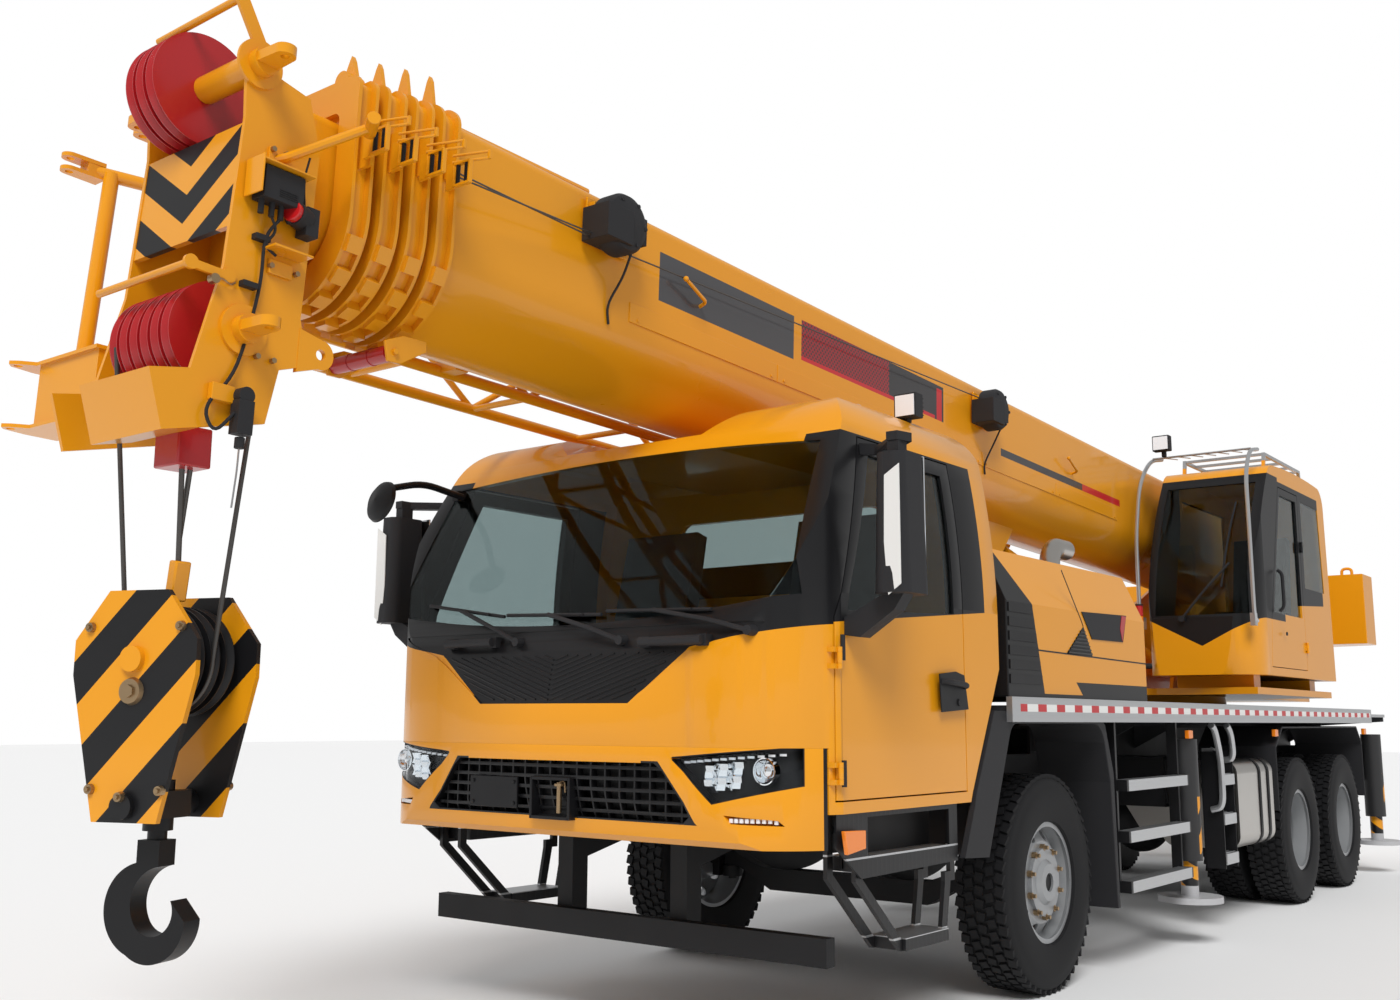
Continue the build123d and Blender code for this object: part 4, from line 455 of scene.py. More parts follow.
def chevronMask(paint):
    u, y, w = paint.boomPlace()
    c = chevron
    onPlate = (u > 10.80) & (w > c["low"]) & (w < c["high"]) & (abs(y) < c["half"]) & (u < 10.865)
    return onPlate & (((w - abs(y) * c["slope"] - c["apex"]) % c["pitch"]) < c["pitch"] * c["share"])


def blockMask(paint):
    x, y, z = paint.place()
    across = (x - hookX) * faceAcross.x + y * faceAcross.y
    ahead = (x - hookX) * faceAhead.x + y * faceAhead.y
    return (((z - across * 1.02 - 0.02) % 0.31) < 0.155) | (abs(ahead) < 0.135)


def craneCabBlack(paint):
    x, y, z = paint.station()
    front = (x > -4.33) & (z > 1.87 + abs(y - 0.835) * 0.52) & (z < 3.19)
    side = (z > 2.2 + (x + 4.0) * -0.06 - 0.02) & (z < 3.16) & (x > -5.5) & (abs(y - 0.835) > 0.36) & (x < -3.9)
    inside = (abs(y - 0.835) < 0.35) & (x > -5.55) & (x < -4.02) & (z < 3.1)
    return front | side | inside


def craneCabPaint():
    paint = yellowPaint("crane cab yellow and black", craneCabBlack)
    x, y, z = paint.station()
    guard = z > 3.335
    base = paint.shader.inputs["Base Color"].links[0].from_socket
    coat = paint.shader.inputs["Coat Weight"].links[0].from_socket
    paint.feed("Base Color", paint.mixColour(guard, Field(paint, base), (*colours["aluminium"], 1)))
    paint.feed("Coat Weight", Field(paint, coat) * (1.0 - guard))
    return paint.feed("Metallic", guard * 0.85)


def hoodBlack(paint):
    x, y, z = paint.station()
    slope = ((z - 1.505) * 0.27) | ((z - 1.887) * 0.746 + 0.103)
    frontTrim = x > slope + 0.194
    lowTrim = (z < 1.52) & (x < -0.30 + (z - 1.45) * 1.2)
    return frontTrim | lowTrim | (z < 1.455)


def stepsPaint():
    paint = Paint("steps and rungs", colours["aluminium"], 0.35)
    x, y, z = paint.station()
    rung = (x < -0.862) & (x > -1.823) & (abs(y) > 1.18)
    tread = (x > 1.0) & (((z > 0.787) & (z < 0.795)) | ((z > 0.446) & (z < 0.455)))
    bright = rung | tread
    paint.feed("Base Color", paint.mixColour(bright, (*colours["black"], 1), (*colours["aluminium"], 1)))
    paint.feed("Metallic", bright * 0.85)
    paint.feed("Roughness", 0.45 - bright * 0.1)
    ribs = (((x + 10.0) % 0.035) < 0.012) & (x > 1.0) | ((((z + 10.0) % 0.019) < 0.004) & rung)
    return paint.bump(ribs, 0.5, 0.004)


def jackPaint():
    paint = Paint("jack with its warning stripes", (0.5, 0.5, 0.52), 0.35, Metallic=0.0)
    x, y, z = paint.place()
    stripes = (((z * 1.0 + y * 0.8) % 0.16) < 0.08) & (z > 0.34)
    black = paint.mixColour(z > 0.34, (0.45, 0.45, 0.46, 1), (*colours["yellow"], 1))
    return paint.feed("Base Color", paint.mixColour(stripes, black, (*colours["black"], 1)))


def beamPaint():
    paint = Paint("outrigger post with its warning plate", (0.022, 0.022, 0.023), 0.45)
    x, y, z = paint.place()
    plate = (abs(y) > 1.262) & (z > 0.53) & (z < 0.87)
    band = ((z * 0.8 + x) % 0.2) < 0.1
    warn = paint.mixColour(band, (*colours["black"], 1), (*colours["yellow"], 1))
    return paint.feed("Base Color", paint.mixColour(plate, paint.colour, warn))


cabYellow = yellowPaint("cab yellow and black", cabBlack)
doorYellow = yellowPaint("door yellow and black", doorBlack)
bumperYellow = yellowPaint("bumper yellow and black", bumperBlack)
craneCabYellow = craneCabPaint()
hoodYellow = yellowPaint("hood yellow and black", hoodBlack)
headYellow = yellowPaint("boom head with chevrons", chevronMask)
blockYellow = yellowPaint("hook block stripes", blockMask)
boomYellow = boomPaint()
railMetal = railPaint()
stepMetal = stepsPaint()
jackMetal = jackPaint()
beamMetal = beamPaint()
looks = {
    "chassis_frame": "frame", "deck": railMetal, "cab_shell": cabYellow, "cab_front": bumperYellow, "cab_glass": "glass",
    "cab_interior": "interior", "engine_hood": hoodYellow, "engine": "engine", "axles": "frame", "tank": "stainless",
    "exhaust": "stainless", "fenders": "plastic", "steps": stepMetal, "left_door": doorYellow, "right_door": doorYellow,
    "left_door_glass": "glass", "right_door_glass": "glass", "left_mirror": "plastic", "right_mirror": "plastic",
    "left_knuckle": "frame", "right_knuckle": "frame", "turntable": "yellow", "counterweight": "yellow", "winch": "frame",
    "crane_cab": craneCabYellow, "crane_cab_glass": "glass", "crane_cab_door": craneCabYellow,
    "crane_door_glass": "glass", "boom_1": boomYellow, "boom_2": "yellow", "boom_3": "yellow", "boom_4": "yellow",
    "boom_5_head": headYellow, "head_sheaves": "red", "jib": "yellow", "luff_barrel": "yellow", "luff_rod": "steel",
    "hook_block": blockYellow, "hoist_rope": "rope", "hook": "black",
}
for node in nodes:
    if node in looks:
        dress(node, looks[node])
    elif "tyre" in node:
        dress(node, "rubber")
    elif "rim" in node:
        dress(node, "rim")
    elif "jack" in node:
        dress(node, jackMetal)
    elif "beam" in node:
        dress(node, beamMetal)
for node in ("cab_shell", "cab_front", "left_door", "right_door", "engine_hood", "counterweight", "crane_cab",
             "crane_cab_door", "turntable", "fenders", "left_mirror", "right_mirror"):
    welded = nodes[node].modifiers.new("weld", "WELD")
    welded.merge_threshold = 0.0001
    soften(nodes[node], 0.006)
print("nodes painted")

def meet(names, start, way):
    # the first point met on the named nodes
    best = None
    for name in names:
        back = nodes[name].matrix_world.inverted()
        hit, where, _, _ = nodes[name].ray_cast(back @ start, (back.to_3x3() @ Vector(way)).normalized())
        if hit:
            where = nodes[name].matrix_world @ where
            if best is None or (where - start).length < (best - start).length:
                best = where
    return best


# Tyres with their tread, and the wheels' studs

tyreShape = {"outer": 0.53, "groove": 0.516, "rows": 5, "blocks": 54, "half": 0.145}


def addTyre(bm, centre, side):
    t = tyreShape
    h = t["half"]
    profile = [(-h + 0.032, 0.292), (-h + 0.014, 0.30), (-h + 0.006, 0.33), (-h + 0.0008, 0.385), (-h + 0.0005, 0.42),
               (-h + 0.004, 0.455), (-h + 0.012, 0.478), (-h + 0.012, 0.482), (-h + 0.018, 0.502), (-h + 0.03, t["groove"]),
               (h - 0.03, t["groove"]), (h - 0.018, 0.502), (h - 0.012, 0.482), (h - 0.012, 0.478), (h - 0.004, 0.455),
               (h - 0.0005, 0.42), (h - 0.0008, 0.385), (h - 0.006, 0.33), (h - 0.014, 0.30), (h - 0.032, 0.292)]
    addLathe(bm, profile + [profile[0]], centre, sides=72)
    width = (2 * h - 0.03) / t["rows"]
    for k in range(t["blocks"]):
        for row in range(t["rows"]):
            turn = 2 * pi * (k + 0.5 * (row % 2)) / t["blocks"]
            out = Vector((cos(turn), 0, sin(turn)))
            off = (row - (t["rows"] - 1) / 2) * width
            edgeRow = row in (0, t["rows"] - 1)
            along = Vector((0, 1, 0)) + out.cross(Vector((0, 1, 0))) * (0.25 if row % 2 else -0.25)
            place = spot(Vector(centre) + out * (t["outer"] - 0.0105) + Vector((0, off, 0)), along, out)
            addBox(bm, place, (width - 0.011, 0.046 if edgeRow else 0.04, 0.019))


for node in nodes:
    if "tyre" not in node:
        continue
    low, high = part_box(node)
    low, high = Vector(low), Vector(high)
    body = nodes[node]["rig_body"]
    middle = (low + high) / 2
    bm = bmesh.new()
    if "tyres" in node:
        for y in (low.y + tyreShape["half"], high.y - tyreShape["half"]):
            addTyre(bm, (middle.x, y, middle.z), 1)
    else:
        addTyre(bm, middle, 1)
    made = piece(bm, node + "_tread", "rubber", body, merge=False)
    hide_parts(node)

studs = {"ring": 0.168, "count": 10, "radius": 0.0165}
for node in nodes:
    if "rim" not in node:
        continue
    low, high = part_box(node)
    low, high = Vector(low), Vector(high)
    side = 1 if (low.y + high.y) > 0 else -1
    out = high.y if side > 0 else low.y
    body = nodes[node]["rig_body"]
    centre = Vector(((low.x + high.x) / 2, out, (low.z + high.z) / 2))
    front = node.startswith("front")
    face = out - side * (0.045 if front else 0.06)
    bm = bmesh.new()
    for k in range(studs["count"]):
        turn = 2 * pi * (k + 0.5) / studs["count"]
        where = Vector((centre.x + cos(turn) * studs["ring"], out + side * 0.3, centre.z + sin(turn) * studs["ring"]))
        where = meet((node,), where, (0, -side, 0)) or Vector((where.x, face, where.z))
        addRod(bm, where - toLeft * side * 0.01, where + toLeft * side * 0.022, studs["radius"], sides=6)
        addRod(bm, where + toLeft * side * 0.02, where + toLeft * side * 0.04, studs["radius"] * 0.6, sides=10)
    piece(bm, node + "_studs", "studs", body)
print("wheels dressed")

# Surfaces to seat the fittings on

carrier = nodes["cab_shell"]["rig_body"]
crane = nodes["crane_cab"]["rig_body"]
boomBase = nodes["boom_1"]["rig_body"]
boomHead = nodes["boom_5_head"]["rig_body"]


def nose(y, z, proud=0.0, names=("cab_shell", "cab_front", "cab_glass"), ahead=3.5):
    found = meet(names, at(ahead, y, z), (-1, 0, 0))
    return (found or at(2.3, y, z)) + Vector((proud, 0, 0))


def addSkin(bm, rows, thickness):
    grid = [[bm.verts.new(p) for p in row] for row in rows]
    faces = []
    for first, second in zip(grid, grid[1:]):
        for k in range(len(first) - 1):
            faces.append(bm.faces.new((first[k], first[k + 1], second[k + 1], second[k])))
    bmesh.ops.recalc_face_normals(bm, faces=faces)
    bmesh.ops.solidify(bm, geom=faces, thickness=thickness)


# Lamps in the front's pockets

lamp = {"in": 0.655, "out": 1.146, "knee": 0.84, "fall": 0.84, "rise": 0.232, "topRise": 0.0863, "deep": 0.045}


def lampHeights(y):
    top = 1.168 + (y - 0.64) * lamp["topRise"]
    low = max(1.172 - (y - 0.64) * lamp["fall"], 1.006 + (y - lamp["knee"]) * lamp["rise"])
    return low, top


def lampRows(side, back, steps=16, across=5):
    rows = []
    for k in range(steps + 1):
        y = lamp["in"] + (lamp["out"] - lamp["in"]) * k / steps
        low, top = lampHeights(y)
        below = nose(side * y, low - 0.022)
        above = nose(side * y, min(top + 0.02, 1.205))
        rows.append([])
        for t in (j / across for j in range(across + 1)):
            x = below.lerp(above, t).x - back
            rows[-1].append(Vector((x, side * y, low + (top - low) * t)))
    return rows


for side, word in ((1, "left"), (-1, "right")):
    bm = bmesh.new()
    addSkin(bm, lampRows(side, lamp["deep"]), 0.004)
    piece(bm, word + "_lamp_back", "black", carrier)
    bm = bmesh.new()
    addSkin(bm, lampRows(side, 0.003), 0.003)
    piece(bm, word + "_lamp_lens", "clear", carrier)
    chrome, bulbs = bmesh.new(), bmesh.new()
    y, z, radius = 1.035, 1.128, 0.047
    centre = nose(side * y, lampHeights(y)[0] - 0.022, -lamp["deep"] + 0.006)
    centre.z = z
    addLathe(chrome, [(0.0, radius * 0.62), (0.010, radius * 0.8), (0.026, radius), (0.034, radius), (0.034, radius * 1.1),
                      (0.0, radius * 1.1), (0.0, radius * 0.62)], centre, (1, 0, 0), 40)
    addBall(chrome, centre + Vector((0.004, 0, 0)), radius * 0.62, (0.8, 1, 1))
    for row in range(4):
        for column in range(5):
            y = 0.800 + 0.031 * column + 0.004 * row
            where = nose(side * y, lampHeights(y)[0] - 0.022, -lamp["deep"] + 0.012)
            where.z = 1.055 + 0.027 * row + 0.004 * column
            if where.z < lampHeights(y)[0] + 0.022:
                continue
            tilt = Vector((1, 0.35 * (-1) ** column * side, 0.4 * (-1) ** (row + column)))
            addBox(chrome, spot(where, tilt), (0.014, 0.033, 0.026))
    piece(chrome, word + "_lamp_reflectors", "mirror", carrier)
    for k in range(12):
        y = 0.70 + 0.42 * k / 12
        where = nose(side * y, lampHeights(y)[0] - 0.022, -0.026)
        where.z = lampHeights(y)[1] - 0.017
        addBox(bulbs, Matrix.Translation(where), (0.008, 0.027, 0.009))
    for k in range(9):
        y = 0.915 + 0.155 * k / 8
        where = nose(side * y, 0.905, -0.012)
        where.z = 0.939 + 0.004 * (k < 8)
        addBox(bulbs, Matrix.Translation(where), (0.008, 0.014, 0.016))
    piece(bulbs, word + "_lamp_bulbs", "led", carrier)
    bm = bmesh.new()
    where = at(1.975, side * 1.232, 0.86)
    addPlate(bm, spot(where, (1, 0, 0)), [(-0.075, -0.03), (0.06, -0.045), (0.08, 0.045), (-0.075, 0.04)], 0.018 * side)
    for x in (-1.92, -3.78, -6.52):
        addBox(bm, Matrix.Translation(at(x, side * 1.25, 1.245)), (0.075, 0.026, 0.05))
    piece(bm, word + "_amber_markers", "amber", carrier, 0.003)
print("front lamps made")

# Front: cover plate, tow bracket, ribs, wipers and handles

bm = bmesh.new()
front = nose(0.0, 1.01).x + 0.012
addBox(bm, Matrix.Translation(Vector((front, -0.336, 1.01))), (0.012, 0.291, 0.131))
for y in (-0.46, -0.21):
    for z in (0.965, 1.055):
        addRod(bm, Vector((front, y, z)), Vector((front + 0.012, y, z)), 0.009, sides=6)
for y in (-0.095, 0.122):
    addBox(bm, Matrix.Translation(Vector((front - 0.03, y, 0.995))), (0.10, 0.014, 0.174))
addBox(bm, Matrix.Translation(Vector((front - 0.045, 0.0135, 0.995))), (0.012, 0.22, 0.174))
for z in (0.915, 1.075):
    addBox(bm, Matrix.Translation(Vector((front - 0.03, 0.0135, z))), (0.10, 0.22, 0.014))
piece(bm, "front_cover_and_tow_bracket", "black", carrier, 0.003)
bm = bmesh.new()
pin = Vector((front + 0.002, 0.055, 0.0))
addRod(bm, pin + Vector((0, 0, 0.935)), pin + Vector((0, 0, 1.06)), 0.011)
addRod(bm, pin + Vector((0, 0, 1.045)), pin + Vector((0, 0, 1.055)), 0.022)
addTube(bm, [pin + Vector((0, 0, 1.058)), pin + Vector((0.0, 0.03, 1.07)), pin + Vector((0.0, 0.035, 1.02))], 0.004, 0.02)
piece(bm, "tow_pin", "studs", carrier)

bm = bmesh.new()
panel = {"low": 1.40, "high": 1.59, "half": 0.41, "flare": 0.76, "slope": 0.32, "pitch": 0.021}
for k in range(19):
    start = panel["low"] - 0.19 + panel["pitch"] * k
    for side in (1, -1):
        path = []
        for y in (0.006 + 0.012 * j for j in range(60)):
            z = start + panel["slope"] * y
            reach = panel["half"] + (z - panel["low"]) / panel["flare"]
            if panel["low"] < z < panel["high"] and y < reach:
                path.append(nose(side * y, z, 0.001))
        if len(path) > 2:
            addTube(bm, path[::3] + [path[-1]], 0.0042, 0.01, 1)
piece(bm, "front_panel_ribs", "black", carrier, merge=False)

bm = bmesh.new()
wipers = (((-0.242, 1.653), (-0.918, 1.848), (-0.379, 1.772)), ((0.363, 1.642), (-0.364, 1.778), (0.209, 1.757)),
          ((0.997, 1.662), (0.234, 1.771), (0.798, 1.753)))
for pivot, start, end in wipers:
    root = nose(*pivot)
    addRod(bm, root - Vector((0.02, 0, 0)), root + Vector((0.035, 0, 0)), 0.024, 0.019)
    a, b = nose(*start, 0.016), nose(*end, 0.016)
    blade = [nose(start[0] + (end[0] - start[0]) * t, start[1] + (end[1] - start[1]) * t, 0.014)
             for t in (j / 6 for j in range(7))]
    addTube(bm, blade, 0.008, 0.02, 2)
    addTube(bm, [p + Vector((0.014, 0, 0)) for p in blade[1:-1]], 0.007, 0.02, 2)
    addTube(bm, [root + Vector((0.026, 0, 0)), root.lerp(blade[3], 0.35) + Vector((0.05, 0, 0.01)),
                 blade[3] + Vector((0.03, 0, 0))], 0.010, 0.08)
for y0, y1, z in ((-0.672, -0.374, 1.655), (0.492, 0.81, 1.63)):
    for y in (y0 + 0.015, y1 - 0.015):
        addBox(bm, Matrix.Translation(nose(y, z, 0.014)), (0.04, 0.05, 0.046))
    a, b = nose(y0, z, 0.046), nose(y1, z, 0.046)
    addRod(bm, a, b, 0.019)
piece(bm, "wipers_and_grab_handles", "plastic", carrier, merge=False)

# Mirrors, door handles, roof lamp

for side, word in ((1, "left"), (-1, "right")):
    door = nodes[word + "_door"]["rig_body"]
    low, high = [Vector(c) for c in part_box(word + "_mirror")]
    middleZ = (low.z + high.z) / 2
    glassY = side * 1.455
    seen = meet((word + "_mirror",), Vector((low.x - 0.5, glassY, middleZ + 0.1)), (1, 0, 0))
    if seen:
        bm = bmesh.new()
        place = Matrix.Translation(seen + Vector((-0.002, 0, 0)))
        addBox(bm, place, (0.008, 0.14, 0.40))
        piece(bm, word + "_mirror_glass", "mirror", nodes[word + "_mirror"]["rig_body"], 0.003)
    seen = meet((word + "_mirror",), Vector((high.x + 0.5, side * 1.50, middleZ)), (-1, 0, 0))
    if seen:
        bm = bmesh.new()
        shape = [(-0.02, -0.26), (0.035, -0.22), (0.035, 0.24), (-0.03, 0.20), (-0.035, -0.06)]
        addPlate(bm, spot(seen + Vector((0.001, 0, 0)), (0, side, 0)), shape, -0.004 * side)
        piece(bm, word + "_mirror_insert", "sign", nodes[word + "_mirror"]["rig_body"])
    bm = bmesh.new()
    face = side * 1.2575
    outline = [(-0.133, -0.075), (-0.10, 0.075), (-0.02, 0.089), (0.133, 0.075), (0.12, -0.089)]
    addPlate(bm, spot(at(1.162, face, 1.446), (1, 0, 0)), outline, 0.006 * side)
    piece(bm, word + "_door_handle_bowl", "black", door, 0.004)
    bm = bmesh.new()
    addTube(bm, [at(1.27, face, 1.49), at(1.25, face + side * 0.034, 1.488), at(1.09, face + side * 0.034, 1.474),
                 at(1.065, face, 1.47)], 0.013, 0.03)
    addRod(bm, at(1.12, face, 1.40), at(1.12, face + side * 0.012, 1.40), 0.016)
    for z in (1.12, 1.60):
        addRod(bm, at(2.06, face - side * 0.004, z - 0.05), at(2.06, face - side * 0.004, z + 0.05), 0.010)
    piece(bm, word + "_door_handle", "plastic", door, merge=False)

bm = bmesh.new()
addTube(bm, [at(1.98, -1.03, 2.42), at(2.22, -1.05, 2.46), at(2.45, -1.08, 2.40)], 0.017, 0.08)
addLathe(bm, [(0.0, 0.001), (0.012, 0.07), (0.03, 0.098), (0.046, 0.104), (0.05, 0.10), (0.044, 0.094), (0.044, 0.001)],
         at(2.485, -1.086, 2.352), (-1, 0.1, -0.25), 40)
addBox(bm, Matrix.Translation(at(1.98, -1.05, 2.425)), (0.06, 0.04, 0.05))
piece(bm, "round_mirror", "black", carrier, merge=False)

bm = bmesh.new()
roof = meet(("cab_shell",), at(1.10, 1.03, 3.2), (0, 0, -1)) or at(1.10, 1.03, 2.7)
addBox(bm, Matrix.Translation(roof + Vector((0, 0, 0.075))), (0.07, 0.115, 0.115))
addTube(bm, [roof, roof + Vector((0, 0, 0.03))], 0.014)
for k in range(5):
    addBox(bm, Matrix.Translation(roof + Vector((-0.04, 0, 0.035 + 0.02 * k))), (0.02, 0.11, 0.006))
piece(bm, "roof_lamp", "plastic", carrier, 0.005, merge=False)
bm = bmesh.new()
addBox(bm, Matrix.Translation(roof + Vector((0.037, 0, 0.075))), (0.004, 0.098, 0.098))
dome = meet(("cab_shell",), at(1.28, 0.855, 3.2), (0, 0, -1)) or at(1.28, 0.855, 2.7)
addBall(bm, dome + Vector((0, 0, 0.006)), 0.042, (1, 1, 0.95))
piece(bm, "roof_lamp_lens", "led", carrier)
print("cab fittings made")

# Hood: vent, seams, badge plate

for side, word in ((1, "left"), (-1, "right")):
    face = side * 1.2505
    bm = bmesh.new()
    for k in range(7):
        t = k / 7
        a = Vector((-0.434 + 0.10 * t, 0, 1.676 + 0.13 * t))
        b = Vector((-0.125 - 0.19 * t, 0, 1.674 + 0.13 * t))
        middle = (a + b) / 2
        place = spot(at(middle.x, face, middle.z), (1, 0, 0), (0, side * 0.5, 1))
        addBox(bm, place, (abs(b.x - a.x), 0.012, 0.010))
    addPlate(bm, spot(at(0, face, 0)), [(-0.334, 1.815), (-0.445, 1.663), (-0.10, 1.663)], 0.001 * side)
    for k in range(6):
        z = 1.52 + 0.068 * k
        inner = 0.212 + (z - 1.505) * 0.27
        addBox(bm, Matrix.Translation(at((inner + 0.575) / 2, face, z)), (0.575 - inner, 0.012, 0.044))
    seams = (((0.249, 1.667), (-1.235, 1.650)), ((-0.074, 2.09), (-0.307, 1.848)), ((-0.307, 1.848), (-0.334, 1.815)))
    for (x0, z0), (x1, z1) in seams:
        a, b = at(x0, face, z0), at(x1, face, z1)
        addBox(bm, spot((a + b) / 2, b - a, (0, 0, 1)), ((b - a).length, 0.002, 0.007))
    piece(bm, word + "_hood_trim", "black", carrier, merge=False)
    bm = bmesh.new()
    badge = [(-0.311, 1.892), (-0.950, 1.910), (-0.885, 1.758), (-0.442, 1.753)]
    addPlate(bm, spot(at(0, face, 0)), badge, 0.005 * side)
    piece(bm, word + "_blank_badge", "plastic", carrier, 0.002)
    bm = bmesh.new()
    addPlate(bm, spot(at(0, face + side * 0.005, 0)), [(-0.94, 1.904), (-0.875, 1.904), (-0.845, 1.83), (-0.87, 1.762)], 0.002 * side)
    piece(bm, word + "_badge_slash", "red", carrier)
print("hood dressed")

# Between the wheels: tank straps, handrails, side steps

bm = bmesh.new()
low, high = [Vector(c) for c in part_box("tank")]
for x in (-3.56, -3.36):
    loop = []
    for cy, cz, first in ((high.y - 0.09, high.z - 0.09, 0), (low.y + 0.09, high.z - 0.09, 90), (low.y + 0.09, low.z + 0.09, 180),
                          (high.y - 0.09, low.z + 0.09, 270)):
        for k in range(6):
            turn = radians(first + 18 * k)
            loop.append(Vector((axleX + x, cy + cos(turn) * 0.096, cz + sin(turn) * 0.096)))
    loop.append(loop[0])
    addSkin(bm, [[p - Vector((0.022, 0, 0)) for p in loop], [p + Vector((0.022, 0, 0)) for p in loop]], 0.004)
piece(bm, "tank_straps", "frame", carrier)
bm = bmesh.new()
cap = meet(("tank",), at(-3.10, 1.02, 1.6), (0, 0, -1)) or at(-3.10, 1.02, 1.07)
addRod(bm, cap, cap + Vector((0, 0, 0.03)), 0.05)
addRod(bm, cap + Vector((0, 0, 0.03)), cap + Vector((0, 0, 0.055)), 0.06)
addTube(bm, [cap + Vector((-0.04, 0, 0.06)), cap + Vector((0.04, 0, 0.075))], 0.008)
piece(bm, "tank_cap", "steel", carrier, 0.003, merge=False)
for side, word in ((1, "left"), (-1, "right")):
    bm = bmesh.new()
    addTube(bm, [at(-2.40, side * 1.235, 1.30), at(-2.47, side * 1.235, 1.27), at(-2.56, side * 1.235, 1.08),
                 at(-2.56, side * 1.235, 0.78), at(-2.56, side * 1.16, 0.76)], 0.021, 0.09)
    addTube(bm, [at(-2.72, side * 1.235, 1.30), at(-2.80, side * 1.235, 1.24), at(-2.83, side * 1.235, 1.08),
                 at(-2.83, side * 1.17, 1.07)], 0.021, 0.09)
    piece(bm, word + "_side_handrails", "aluminium", carrier, merge=False)
    bm = bmesh.new()
    for z in (0.45, 0.70, 0.95):
        addBox(bm, Matrix.Translation(at(-2.71, side * 1.17, z)), (0.24, 0.13, 0.07))
        for k in range(3):
            addBox(bm, Matrix.Translation(at(-2.71, side * (1.13 + 0.04 * k), z + 0.036)), (0.23, 0.012, 0.006))
    piece(bm, word + "_side_treads", "aluminium", carrier, 0.004, merge=False)
    bm = bmesh.new()
    for x in (-2.59, -2.835):
        addBox(bm, Matrix.Translation(at(x, side * 1.165, 0.76)), (0.012, 0.12, 0.74))
    addBox(bm, Matrix.Translation(at(-2.71, side * 1.10, 0.79)), (0.24, 0.012, 0.72))
    addBox(bm, Matrix.Translation(at(-2.71, side * 1.0, 1.10)), (0.24, 0.20, 0.05))
    piece(bm, word + "_side_step_frame", "frame", carrier, merge=False)
    bm = bmesh.new()
    addBox(bm, Matrix.Translation(at(1.49, side * 1.10, 0.865)), (0.72, 0.012, 0.25))
    piece(bm, word + "_step_well", "frame", carrier)
bm = bmesh.new()
for side in (1, -1):
    for y, w in ((0.86, 0.12), (0.99, 0.10)):
        back = meet(("deck", "chassis_frame"), at(-9.0, side * y, 1.27), (1, 0, 0))
        if back:
            addBox(bm, Matrix.Translation(back + Vector((-0.012, 0, 0))), (0.03, w, 0.09))
if bm.verts:
    piece(bm, "rear_lamps", "redLens", carrier, 0.004)
else:
    bm.free()
print("chassis sides dressed")

# Crane cab: rails, lamp, beacon, wiper, handle

bm = bmesh.new()
for y, lean in ((0.395, 1), (1.225, -1)):
    addTube(bm, [at(-3.60, y, 2.04), at(-3.535, y, 2.06), at(-3.535, y, 2.70), at(-3.60, y + 0.02 * lean, 3.12),
                 at(-3.80, y + 0.04 * lean, 3.33), at(-4.05, y + 0.05 * lean, 3.375)], 0.015, 0.14)
    addBox(bm, Matrix.Translation(at(-3.56, y + 0.012 * lean, 2.05)), (0.06, 0.035, 0.09))
for y in (0.52, 0.62, 0.72, 0.82, 0.92, 1.02, 1.12):
    addTube(bm, [at(-3.86, y, 3.352), at(-4.20, y, 3.392)], 0.0045, 0.02, 1)
addTube(bm, [at(-3.86, 0.44, 3.352), at(-3.86, 1.18, 3.352)], 0.008)
piece(bm, "crane_cab_rails", "aluminium", crane, merge=False)
bm = bmesh.new()
addBox(bm, Matrix.Translation(at(-3.73, 0.56, 3.44)), (0.07, 0.13, 0.12))
addBox(bm, Matrix.Translation(at(-3.77, 0.56, 3.37)), (0.04, 0.03, 0.06))
piece(bm, "crane_cab_lamp", "plastic", crane, 0.006, merge=False)
bm = bmesh.new()
addBox(bm, Matrix.Translation(at(-3.693, 0.56, 3.44)), (0.004, 0.112, 0.10))
piece(bm, "crane_cab_lamp_lens", "led", crane)
beacon = at(-3.50, 0.40, 0)
for name, low, high, radius, paint in (("beacon_red", 2.10, 2.18, 0.033, "redLens"), ("beacon_amber", 2.02, 2.10, 0.033, "amber")):
    bm = bmesh.new()
    addRod(bm, beacon + Vector((0, 0, low)), beacon + Vector((0, 0, high)), radius)
    piece(bm, name, paint, crane, 0.004)
bm = bmesh.new()
addRod(bm, beacon + Vector((0, 0, 1.96)), beacon + Vector((0, 0, 2.02)), 0.035)
addRod(bm, beacon + Vector((0, 0, 2.18)), beacon + Vector((0, 0, 2.19)), 0.035)
addRod(bm, beacon + Vector((0, 0, 1.72)), beacon + Vector((0, 0, 1.96)), 0.009)
addTube(bm, [beacon + Vector((0, 0, 1.73)), beacon + Vector((-0.05, 0.06, 1.73))], 0.022)
root = nose(0.702, 2.073, 0.0, ("crane_cab", "crane_cab_glass"), 0.0)
tip = nose(1.038, 2.479, 0.03, ("crane_cab_glass", "crane_cab"), 0.0)
addRod(bm, root - Vector((0.02, 0, 0)), root + Vector((0.04, 0, 0)), 0.022)
addTube(bm, [root + Vector((0.03, 0, 0)), root.lerp(tip, 0.5) + Vector((0.05, 0, 0)), tip], 0.009, 0.06)
blade = [nose(0.98 + 0.06 * t, 2.30 + 0.66 * t, 0.012, ("crane_cab_glass", "crane_cab"), 0.0) for t in (j / 6 for j in range(7))]
addTube(bm, blade, 0.008, 0.03, 2)
addTube(bm, [p + Vector((0.013, 0, 0)) for p in blade[1:-1]], 0.006, 0.03, 2)
piece(bm, "crane_cab_wiper_and_post", "plastic", crane, merge=False)
bm = bmesh.new()
